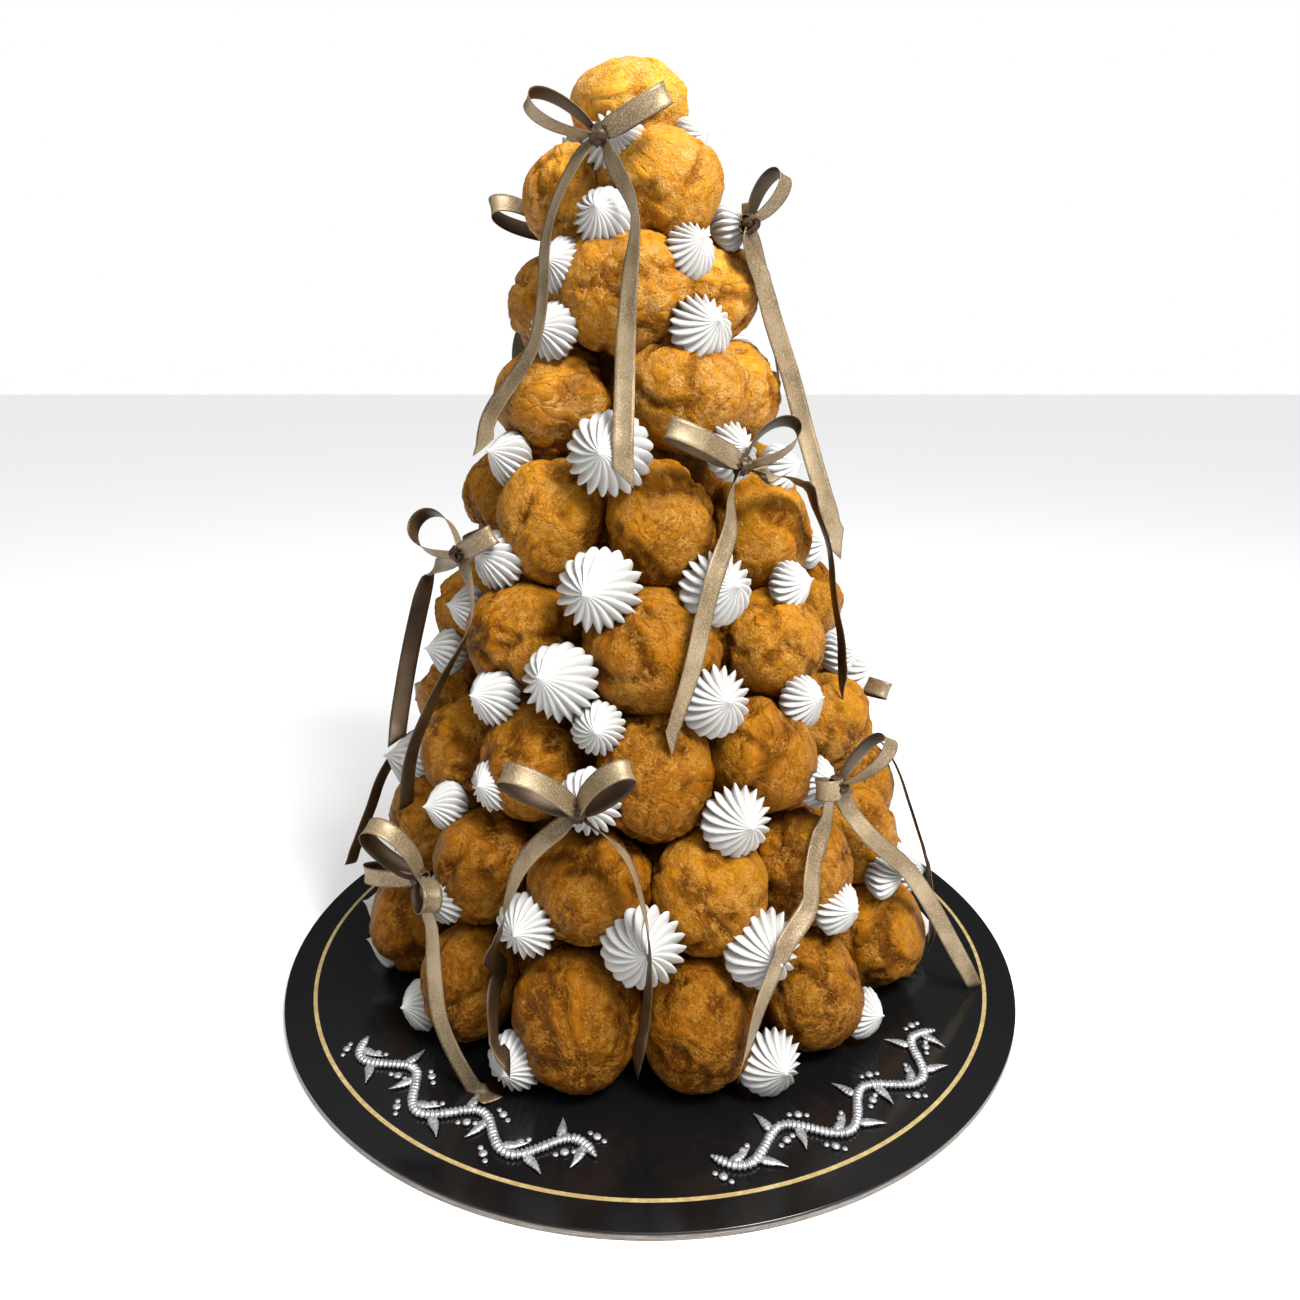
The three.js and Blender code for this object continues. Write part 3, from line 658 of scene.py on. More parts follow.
def rosette_tree():
    tree, wire = geometry_tree("cream rosette", {
        "Crests": ("Int", 19), "Facets per crest": ("Int", 6), "Rows": ("Int", 16),
        "Crest depth": ("Float", 0.27), "Cream": ("Material", None)})
    globe = node(tree, "GeometryNodeMeshUVSphere", {}, {
        "Segments": wire["Crests"] * wire["Facets per crest"], "Rings": wire["Rows"], "Radius": 1.0})
    ball = stored(tree, globe, "ball", node(tree, "GeometryNodeInputPosition"), "FLOAT_VECTOR")
    real = copies_on(tree, wire["Geometry"], ball)

    unit, lean = carried_vectors(tree, "ball", "lean")
    seed, twist = carried(tree, "seed"), carried(tree, "twist")
    x, y, z = parts(tree, unit)
    down = math_of(tree, "ARCCOSINE", z) * (1 / math.pi)
    angle = math_of(tree, "ARCTAN2", y, x)
    radius = curved(tree, down, (0, 0), (0.08, 0.07), (0.2, 0.33), (0.36, 0.72), (0.5, 0.96), (0.6, 1.0),
                    (0.74, 0.86), (1, 0))
    height = curved(tree, down, (0, 1), (0.08, 0.93), (0.2, 0.82), (0.36, 0.66), (0.5, 0.5), (0.6, 0.42),
                    (0.74, 0.25), (1, 0))
    turn = math_of(tree, "FRACT", angle * wire["Crests"] / (2 * math.pi) + 20)
    valley = 1 - math_of(tree, "MINIMUM", turn / crest_lean, (1 - turn) / (1 - crest_lean))
    share = math_of(tree, "SINE", down * math.pi) ** 0.45
    uneven = noise(tree, joined(tree, x, y, seed), 4.6, 2.0, seed=seed) - 0.5
    torn = noise(tree, unit, 9.0, 3.0, 0.6, seed=seed + 4) - 0.5
    reach = radius * (1.07 + uneven * 0.26 + torn * 0.06 - valley * share * wire["Crest depth"])
    turned = angle + twist * (1 - down)
    cosine, sine = math_of(tree, "COSINE", turned), math_of(tree, "SINE", turned)
    middle, side, rise, out = carried_vectors(tree, "middle", "side", "rise", "out")
    place = (middle + side * (reach * cosine) + rise * (reach * sine) + out * (height * 2.1 - 0.9)
             + lean * (1 - down) ** 3)
    moved = moved_to(tree, real, place)
    # valley is stored so that the cream can paint shade into the valleys.
    finished(tree, stored(tree, moved, "valley", valley * share), wire["Cream"])
    return tree


cream_rosette = rosette_tree()
print("tree:", cream_rosette.name, len(cream_rosette.nodes), "nodes")

# %% Levels of rosettes
# Each level's rosettes in front: way round, height above the board, width.
creams = [
    [(-73, 16, 24), (-50, 15, 24), (-24, 16, 27), (22, 18, 30), (46, 16, 24)],
    [(-66, 72, 22), (-45, 78, 25), (-23, 81, 29), (-0.2, 79, 36), (22, 73, 35), (42, 76, 26), (63, 70, 24)],
    [(-74, 122, 22), (-50, 118, 24), (-36, 137, 24), (-11, 139, 29), (20, 129, 32), (44, 134, 24)],
    [(-70, 184, 24), (-39, 176, 27), (-19, 189, 35), (-10, 170, 24), (18, 181, 32), (45, 171, 25),
     (75, 180, 24)],
    [(-62, 209, 22), (-47, 236, 28), (-10, 230, 37), (22, 229, 33), (52, 223, 24), (78, 236, 24)],
    [(-54, 282, 25), (-8.2, 288, 37), (37, 287, 27), (66, 275, 25)],
    [(-38, 340, 26), (31, 341, 30)],
    [(-37, 368, 25), (-14, 387, 26), (32, 374, 24), (76, 387, 22)],
    [(-10, 419, 27), (68, 424, 20)],
]
print("rosettes in front:", sum(len(level) for level in creams))

# %% Grow the rosettes
rosette_width = 28
rosette_spread = 4
rosette_rise = 0.46  # of its width
rosette_tilt = 14  # degrees that it looks up
rosette_stand = 8  # how far outside the ring a rosette's middle lies
rosette_rest = 0.38  # and how much farther, of its width
rosette_drop = 4  # below the middle between two tiers
foot_height = 16
bare_one_in = 3  # behind, one hollow in so many has no rosette
cream_seed = 13
cream_seed_step = 5.7
cream_seed_span = 89
tip_lean = 0.12  # how far a rosette's tip may lean, of its width
usual_twist = 0.7
twist_spread = 0.4


def rosette_rows(front, level):
    below = tiers[max(0, level - 1)]
    middle_height = (tiers[level - 1]["rise"] + tiers[level]["rise"]) / 2
    height = foot_height if level == 0 else middle_height - rosette_drop
    behind = []
    for i, azimuth in enumerate(angles_behind(below, below["behind"] + 1, 0.5)):
        number = cream_seed * level + i
        lift = 0 if level == 0 else rosette_spread * scatter(number)
        if (i + level + 1) % bare_one_in != 0:
            behind.append((azimuth, height + lift, rosette_width + rosette_spread * scatter(number + 4)))
    rows = []
    for i, (azimuth, height, width) in enumerate([*front, *behind]):
        number = cream_seed * level + i
        z = board_thickness + height
        side, rise, out = tilted(azimuth, rosette_tilt)
        lean = side * scatter(3 * number) + rise * scatter(7 * number + 1)
        rows.append(dict(
            middle=on_tower(azimuth, z, ring_at(z) + rosette_stand + rosette_rest * width) * mm,
            side=side * width / 2 * mm, rise=rise * width / 2 * mm, out=out * width * rosette_rise * mm,
            lean=lean * width * tip_lean * mm, twist=usual_twist + twist_spread * scatter(number),
            seed=cream_seed_step * number % cream_seed_span))
    return rows


rosettes = []
for level, front in enumerate(creams):
    name = f"cream_level_{level + 1}"
    rows = rosette_rows(front, level)
    piece = grown(f"rosettes_{level + 1}", points_with(name, rows), cream_rosette, cream=whipped_cream)
    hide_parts(name)
    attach(piece, "root")
    rosettes.append(piece)
    print(piece.name, len(rows), "rosettes,", len(piece.data.polygons), "faces")

# %% [markdown]
# ## The middle of the tower
#
# Between the puffs there are gaps, and what is seen through them is the dark inside of the cone, not
# daylight from its far side. A plain turned shape, a little smaller than the rings, closes the view. Its
# crust is painted as dark as the deepest crease, as painted shade.

# %% Turned shapes
def tube_faces(rows, sides, base=0, ring=False):
    """The faces round rows of corners. A ring meets itself, and any other tube is closed at both ends."""
    faces = []
    for row in range(rows if ring else rows - 1):
        low, high = base + row * sides, base + (row + 1) % rows * sides
        faces += [(low + i, low + (i + 1) % sides, high + (i + 1) % sides, high + i) for i in range(sides)]
    if not ring:
        faces.append(tuple(base + i for i in range(sides))[::-1])
        faces.append(tuple(base + (rows - 1) * sides + i for i in range(sides)))
    return faces


def turned(name, profile, sides, material, centres=None, ring=False):
    """A turned shape. profile is [(radius, height)], from below up, and centres are its middles."""
    verts = []
    for (radius, height), centre in zip(profile, centres or [Vector((0, 0, 0))] * len(profile)):
        for i in range(sides):
            angle = 2 * math.pi * i / sides
            verts.append((centre.x + radius * math.cos(angle), centre.y + radius * math.sin(angle), height))
    return meshed(name, verts, tube_faces(len(profile), sides, ring=ring), material)

# %% The dark middle
core_inset = 14
core_least = 10
core_sides = 48
core_heights = range(12, 432, 20)
core_profile = [(max(core_least, ring_at(z) - core_inset), z) for z in core_heights]
core = turned("tower_middle", core_profile, core_sides, crust, centres=[axis_at(z) for z in core_heights])
# The middle gets the darkest crust tone, as painted shade.
for key in ("bake", "crease"):
    shade = core.data.attributes.new(key, "FLOAT", "POINT")
    shade.data.foreach_set("value", [1.0] * len(core.data.vertices))
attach(core, "root")
print(core.name, len(core.data.polygons), "faces")

# %% [markdown]
# ## The board
#
# Cake boards of this kind are thick greyboard, covered in gloss black laminate, with a ring of gold foil
# just inside the rim. The cut edge stays bare. Turning one profile gives the board its rounded arris, and
# the foil is a ring of its own, thin as paint, so that its two edges stay sharp from close up.

# %% Board materials
laminate_black = (0.0045, 0.0045, 0.005)
laminate_dust = (0.03, 0.03, 0.03)
edge_dark = (0.12, 0.10, 0.085)
edge_pale = (0.33, 0.29, 0.25)
foil_worn = (0.50, 0.37, 0.15)
foil_bright = (0.66, 0.52, 0.25)


def laminate_material():
    material, tree, shader = plain_material("black_laminate")
    place = on_object(tree)
    film = noise(tree, place, 14.0, 3.0, 0.5)
    dust = between(tree, noise(tree, place, 900.0, 2.0, 0.6, seed=4.0), 0.7, 0.8)
    smear = noise(tree, place, 60.0, 3.0, 0.6, seed=8.0)
    feed(shader, base_color=blend(tree, dust * 0.25, laminate_black, laminate_dust),
         roughness=between(tree, film + smear * 0.4, 0.45, 0.95, 0.09, 0.2), specular_ior_level=0.45,
         normal=bump(tree, smear, 0.03 * mm))
    return material


def edge_material():
    """Greyboard in thin layers, so its noise is drawn out sideways."""
    material, tree, shader = plain_material("greyboard_edge")
    place = on_object(tree)
    x, y, z = parts(tree, place)
    layers = noise(tree, joined(tree, x * 0.05, y * 0.05, z), 1800.0, 3.0, 0.6)
    fibres = noise(tree, place, 900.0, 3.0, 0.6)
    colour = blend(tree, between(tree, layers + fibres * 0.3, 0.45, 0.9), edge_dark, edge_pale)
    feed(shader, base_color=colour, roughness=0.8, normal=bump(tree, layers + fibres, 0.15 * mm))
    return material


def foil_material():
    material, tree, shader = plain_material("gold_foil")
    worn = noise(tree, on_object(tree), 400.0, 3.0, 0.6)
    feed(shader, base_color=blend(tree, between(tree, worn, 0.4, 0.7), foil_worn, foil_bright),
         metallic=0.4, roughness=between(tree, worn, 0.3, 0.7, 0.3, 0.45))
    return material


black_laminate, greyboard_edge, gold_foil = laminate_material(), edge_material(), foil_material()
print("board:", black_laminate.name, greyboard_edge.name, gold_foil.name)

# %% Board
board_radius = 203
board_arris = 0.6
board_sides = 288
laminate_wrap = 0.5  # how far the black comes down over the edge

arc = [math.radians(a) for a in (0, 30, 60, 90)]
profile = [(board_radius - board_arris + board_arris * math.sin(a), board_arris - board_arris * math.cos(a))
           for a in arc]
profile += [(board_radius, board_thickness - board_arris - laminate_wrap)]
profile += [(board_radius - board_arris + board_arris * math.cos(a),
             board_thickness - board_arris + board_arris * math.sin(a)) for a in arc]
board = turned("cake_board", profile, board_sides, black_laminate)
board.data.materials.append(greyboard_edge)
edge_low, edge_high = board_arris, board_thickness - board_arris - laminate_wrap / 2
for face in board.data.polygons:
    face.material_index = int(edge_low * mm < face.center.z < edge_high * mm)
    face.use_smooth = len(face.vertices) == 4
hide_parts("board")
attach(board, "root")

print(board.name, len(board.data.polygons), "faces")

# %% Gold ring
gold_radius = 187.2
gold_width = 2
gold_thickness = 0.06

gold_in, gold_out = gold_radius - gold_width / 2, gold_radius + gold_width / 2
low, high = board_thickness, board_thickness + gold_thickness
gold_profile = [(gold_in, low), (gold_out, low), (gold_out, high), (gold_in, high)]
gold = turned("gold_ring", gold_profile, board_sides, gold_foil, ring=True)
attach(gold, "root")
print(gold.name, len(gold.data.polygons), "faces")

# %% [markdown]
# ## Satin ribbon
#
# The ribbon is 10 mm satin with a woven, stitched edge. Its face is pale champagne and its back dark
# bronze, so a tail that turns over changes colour, which does much for the look of a bow. The tree that
# makes the bands stores how far along and across the ribbon each point is, and which side it is on, and
# the satin reads that.

# %% Satin material
satin_shade = (0.165, 0.11, 0.054)
satin_light = (0.325, 0.24, 0.14)
satin_sparkle = (0.66, 0.54, 0.35)
back_shade = (0.035, 0.019, 0.008)
back_light = (0.085, 0.05, 0.022)
stitch_shade = (0.07, 0.045, 0.02)
stitch_pitch = 0.9
satin_relief = 0.12 * mm


def satin_material():
    material, tree, shader = plain_material("satin_ribbon")
    along, across, face = parts(tree, from_mesh(tree, "woven", "Vector"))
    place = on_object(tree)
    sheen = noise(tree, place, 45.0, 2.0, 0.5)
    grain = noise(tree, place, 1500.0, 3.0, 0.75, seed=1.0)
    thread = noise(tree, joined(tree, along * 12, across * 60, face), 1.0, 2.0, 0.6)
    champagne = blend(tree, between(tree, sheen, 0.35, 0.68), satin_shade, satin_light)
    sparkle = blend(tree, between(tree, grain, 0.46, 0.66) * 0.5, champagne, satin_sparkle)
    back = blend(tree, between(tree, sheen + grain * 0.4, 0.45, 0.9), back_shade, back_light)
    cloth = blend(tree, math_of(tree, "GREATER_THAN", face, 0.5), back, sparkle)
    edge = between(tree, math_of(tree, "ABSOLUTE", across), 0.84, 0.9)
    stitch = between(tree, math_of(tree, "SINE", along * (2 * math.pi / stitch_pitch)), -0.2, 0.5)
    # Painted shade in the hollows between the stitches along the edge.
    stitched = blend(tree, edge * (1 - stitch) * 0.6, cloth, stitch_shade)
    height = thread * 0.4 + grain * 0.5 + edge * stitch * 1.2
    feed(shader, base_color=stitched, metallic=0.45, roughness=between(tree, grain, 0.3, 0.7, 0.36, 0.5),
         normal=bump(tree, height, satin_relief))
    return material


satin = satin_material()
print("ribbon:", satin.name)

# %% [markdown]
# ## How a ribbon lies
#
# A tail is pinned at the knot and hangs down the cone. It rests on the bulges, spans the hollows between
# them, and turns over where it was twisted. Cloth simulation would have to collide with every puff, so the
# path is worked out instead: rays from outside find how far the cone reaches at each height, and a string
# pulled tight over those places gives the path, which then sinks a little way into the hollows. A tail
# that hangs free keeps the distance that its places give, wherever that is more.

# %% Rays against the cone
graph = bpy.context.evaluated_depsgraph_get()
surfaces = [BVHTree.FromObject(piece, graph) for piece in [*puffs, *rosettes]]
ray_start = 300
ribbon_width = 9.3  # measured across its slight cupping
ribbon_clear = 1.0
ribbon_reach = 0.8  # how much of its half width is felt for with rays


def outermost(azimuth, z):
    """How far out the cone reaches at a place."""
    middle = axis_at(z)
    start = (middle + outward(azimuth) * ray_start) * mm
    reach = 0
    for surface in surfaces:
        hit, *_ = surface.ray_cast(start, -outward(azimuth), ray_start * mm)
        if hit is not None:
            reach = max(reach, (hit / mm - middle).dot(outward(azimuth)))
    return reach


def tower_place(point):
    """The azimuth and the distance from the axis."""
    middle = axis_at(point.z)
    x, y = point.x - middle.x, point.y - middle.y
    return math.degrees(math.atan2(x, -y)), math.hypot(x, y)


def clear_radius(point):
    """How far out a ribbon has to be to pass a place, over a patch as large as its width."""
    azimuth, radius = tower_place(point)
    half = ribbon_width / 2
    turn = math.degrees(half / max(radius, half))
    felt = (-ribbon_reach, 0, ribbon_reach)
    return ribbon_clear + max(outermost(azimuth + across * turn, point.z + along * half)
                              for across in felt for along in felt)


print("rays can be cast at", len(surfaces), "pieces")

# %% Paths and bands
band_steps = 40
curve_steps = 24  # between two places that a band passes
gather_length = 12  # how soon a band has its full width after the knot
ribbon_gathered = 4.5


def run_of(points):
    """How far along its path each point is."""
    return np.concatenate([[0], np.cumsum([(b - a).length for a, b in zip(points, points[1:])])])


def through(marks, count):
    """Evenly spaced points on a smooth curve through marks."""
    ends = [marks[0] * 2 - marks[1], *marks, marks[-1] * 2 - marks[-2]]
    fine = []
    for p0, p1, p2, p3 in zip(ends, ends[1:], ends[2:], ends[3:]):
        for i in range(curve_steps):
            t = i / curve_steps
            fine.append(0.5 * ((2 * p1) + (p2 - p0) * t + (2 * p0 - 5 * p1 + 4 * p2 - p3) * t * t
                               + (3 * p1 - p0 - 3 * p2 + p3) * t ** 3))
    fine.append(marks[-1])
    run = run_of(fine)
    wanted = np.linspace(0, run[-1], count + 1)
    columns = [np.interp(wanted, run, [p[axis] for p in fine]) for axis in range(3)]
    return [Vector(p) for p in zip(*columns)]


def directions(points):
    last = len(points) - 1
    return [(points[min(i + 1, last)] - points[max(i - 1, 0)]).normalized() for i in range(last + 1)]


def spun(first, second, angle):
    """Two directions at right angles, turned together, the first towards the second."""
    cosine, sine = math.cos(angle), math.sin(angle)
    return first * cosine + second * sine, second * cosine - first * sine


def width_after(run):
    """How far a band has opened at some distance from the knot, from 0 to 1, and its width there."""
    share = min(1, run / gather_length)
    return share, ribbon_gathered + (ribbon_width - ribbon_gathered) * (1 - (1 - share) ** 2)


def band_row(point, along, across, face, width, run, pleat, slant=0.0):
    """What the ribbon's tree reads at one step of a band."""
    return dict(middle=point * mm, across=across, face=face, along=along, width=width * mm,
                run=float(run) * mm, pleat=float(pleat), slant=float(slant) * mm)


print("band steps:", band_steps)

# %% Tails
ribbon_stand = 30  # how far outside the ring a ribbon starts from, before the rays move it
tail_slack = 0.15  # how much of a hollow a tail sinks into
tail_soften = 3  # steps on each side that a bend is spread over
tail_sink = 0.3  # how far that may bring a tail in
tail_lowest = 1.2  # above the board
cut_steps = 3  # the last steps of a tail, which its slanting cut is spread over


def pulled_tight(asked, first):
    """Distances from the axis, spanned by a string from the step first on, and sunk a little between."""
    taut = asked.copy()
    for a in range(first, len(asked)):
        for b in range(a + 2, len(asked)):
            span = np.arange(a + 1, b)
            taut[span] = np.maximum(taut[span], np.interp(span, [a, b], [asked[a], asked[b]]))
    radii = taut + (asked - taut) * tail_slack
    window = 2 * tail_soften + 1
    soft = np.convolve(np.pad(radii, tail_soften, mode="edge"), np.ones(window) / window, mode="valid")
    radii = np.maximum(soft, asked - tail_sink)
    radii[0] = asked[0]
    return radii


def tail_band(knot, tail):
    """A tail, from the knot to its cut end."""
    past = tail["past"]
    hangs_free = any(len(place) > 3 for place in past)
    stands = [place[3] if len(place) > 3 else ribbon_stand for place in past]
    marks = [knot]
    for place, stand in zip(past, stands):
        marks.append(on_tower(place[0], place[1], ring_at(place[1]) + stand))
    path = through(marks, band_steps)
    shares = run_of(marks) / run_of(marks)[-1]
    turns = [tail["turn"], *(place[2] for place in past)]
    turn = np.radians(np.interp(np.linspace(0, 1, band_steps + 1), shares, turns))
    asked = []
    for i, point in enumerate(path):
        radius = tower_place(point)[1]
        # A ribbon that is turned over stands up by half its width.
        free = clear_radius(point) + abs(math.sin(turn[i])) * ribbon_width / 2
        asked.append(radius if i == 0 else max(radius, free) if hangs_free else free)
    radii = pulled_tight(np.array(asked), len(asked) // 5 if hangs_free else 0)
    points = []
    for point, radius in zip(path, radii):
        azimuth, _ = tower_place(point)
        points.append(on_tower(azimuth, max(point.z, board_thickness + tail_lowest), radius))
    run = run_of(points)
    rows = []
    for i, (point, along) in enumerate(zip(points, directions(points))):
        side = around(tower_place(point)[0])
        side = (side - along * side.dot(along)).normalized()
        side, face = spun(side, along.cross(side), turn[i])
        opened, width = width_after(run[i])
        slant = tail["cut"] * ribbon_width * max(0, (i - band_steps + cut_steps) / cut_steps)
        rows.append(band_row(point, along, side, face, width, run[i], 1 - opened, slant))
    return rows


print("tails sink into", tail_slack, "of a hollow")

# %% Loops
loop_soften = 3
loop_fullness = 0.8


def loop_band(knot, loop):
    """A loop: out from the knot, round, and back to it.

    Where tilt is above 0 the loop is seen into from above, and where it is below 0 from underneath. lean
    brings its tip forward, and twist turns its two strands against each other.
    """
    ahead = outward(loop["faces"])
    lean = math.radians(loop["lean"])
    flat, _ = spun(around(loop["faces"]), up, math.radians(loop["way"]))
    far, _ = spun(flat, ahead, lean)
    open_way = (ahead - far * ahead.dot(far)).normalized()
    across = open_way.cross(far)
    tilt = math.radians(loop["tilt"]) * (1 if across.z >= 0 else -1)
    open_way, across = spun(open_way, across, -tilt)
    points = []
    for i in range(band_steps + 1):
        angle = 2 * math.pi * i / band_steps
        bulge = math.sin(angle) * abs(math.sin(angle / 2)) ** loop_fullness
        point = knot + far * loop["length"] * math.sin(angle / 2) ** 2 + open_way * loop["opening"] * bulge
        azimuth, radius = tower_place(point)
        points.append(point + outward(azimuth) * max(0, clear_radius(point) - radius))
    for _ in range(loop_soften):
        between_ends = [(a + b * 2 + c) / 4 for a, b, c in zip(points, points[1:], points[2:])]
        points = [points[0], *between_ends, points[-1]]
    run = run_of(points)
    rows = []
    for i, (point, along) in enumerate(zip(points, directions(points))):
        opened, width = width_after(min(run[i], run[-1] - run[i]))
        side = (across - along * across.dot(along)).normalized()
        side, face = spun(side, along.cross(side), math.radians(loop["twist"]) * (i / band_steps - 0.5))
        rows.append(band_row(point, along, side, face, width, run[i], 1 - opened))
    return rows


print("loops are softened", loop_soften, "times")

# %% Knots
knot_size = 7.5
knot_width = 6.5
knot_crumple = 0.14
knot_pleat = 0.8


def knot_band(knot, azimuth, askew, size):
    """One turn of the ribbon that ties the knot, upright round the gathered bands, its back outwards."""
    side, rise, out = tilted(azimuth, 0)
    side, rise = spun(side, rise, askew)
    rows = []
    for i in range(band_steps + 1):
        angle = 2 * math.pi * i / band_steps
        radius = size / 2 * (1 + knot_crumple * math.sin(3 * angle + 5 * askew))
        point = knot + rise * radius * math.cos(angle) - out * radius * math.sin(angle)
        along = -rise * math.sin(angle) - out * math.cos(angle)
        rows.append(band_row(point, along, side, along.cross(side), knot_width, radius * angle, knot_pleat))
    return rows


print("knot in mm:", knot_size)

# %% Tree: ribbon bands
gather_folds = 5  # half waves across the ribbon, where it is gathered


def band_tree():
    """Each band is a flat block, whose steps are laid on the points of its path."""
    tree, wire = geometry_tree("ribbon bands", {
        "Steps": ("Int", band_steps), "Strands": ("Int", 6), "Thickness": ("Float", 0.35 * mm),
        "Cupping": ("Float", 0.05), "Pleat depth": ("Float", 0.9 * mm), "Satin": ("Material", None)})
    source = wire["Geometry"]
    index = node(tree, "GeometryNodeInputIndex")
    per_band = wire["Steps"] + 1
    starts = math_of(tree, "LESS_THAN", math_of(tree, "MODULO", index, per_band), 0.5)
    cube = node(tree, "GeometryNodeMeshCube", {}, {
        "Size": (1.0, 1.0, 1.0), "Vertices X": per_band, "Vertices Y": wire["Strands"] + 1,
        "Vertices Z": 2})
    block = stored(tree, cube, "block", node(tree, "GeometryNodeInputPosition"), "FLOAT_VECTOR")
    real = copies_on(tree, stored(tree, source, "first", index), block, Selection=starts)

    x, y, z = parts(tree, carried(tree, "block", "FLOAT_VECTOR"))
    at = carried(tree, "first") + math_of(tree, "ROUND", (x + 0.5) * wire["Steps"])

    def sampled(name, kind="FLOAT"):
        return node(tree, "GeometryNodeSampleIndex", {"data_type": kind}, {
            "Geometry": source, "Value": carried(tree, name, kind), "Index": at})

    middle, across, face, along = (
        sampled(name, "FLOAT_VECTOR") for name in ("middle", "across", "face", "along"))
    width, run, pleat, slant = (sampled(name) for name in ("width", "run", "pleat", "slant"))
    cup = (1 - y * y * 4) * width * wire["Cupping"]
    fold = math_of(tree, "COSINE", y * (gather_folds * math.pi)) * pleat * wire["Pleat depth"]
    place = (middle + across * (y * width) + face * (z * wire["Thickness"] - cup + fold)
             + along * (slant * y))
    moved = moved_to(tree, real, place)
    woven = joined(tree, run / mm, y * 2, z + 0.5)
    finished(tree, stored(tree, moved, "woven", woven, "FLOAT_VECTOR"), wire["Satin"])
    return tree


ribbon_bands = band_tree()
print("tree:", ribbon_bands.name, len(ribbon_bands.nodes), "nodes")

# %% [markdown]
# ## The bows
#
# Each bow is written down the way it is tied: where its knot is pinned, which way its loops point and how
# long they are, and the places that its tails hang past. turn says how far a tail is turned over, where 0
# shows the pale face, 90 the ribbon's edge and 180 its dark back.

# %% Bows
def loop(way, length, tilt=24, lean=20, opening=9, twist=0, faces=None):
    """way is the angle that it points at, counted from the right, seen from the side that it faces."""
    return dict(way=way, length=length, tilt=tilt, lean=lean, opening=opening, twist=twist, faces=faces)


def tail(turn, *past, cut=1):
    """turn is how far it is turned over at the knot. Each place it hangs past is (way round, height, turn).

    A fourth number says how far the place stands off the ring of puffs, and makes the tail hang free. cut
    says how far its end is cut aslant, as a share of its width.
    """
    return dict(turn=turn, past=past, cut=cut)


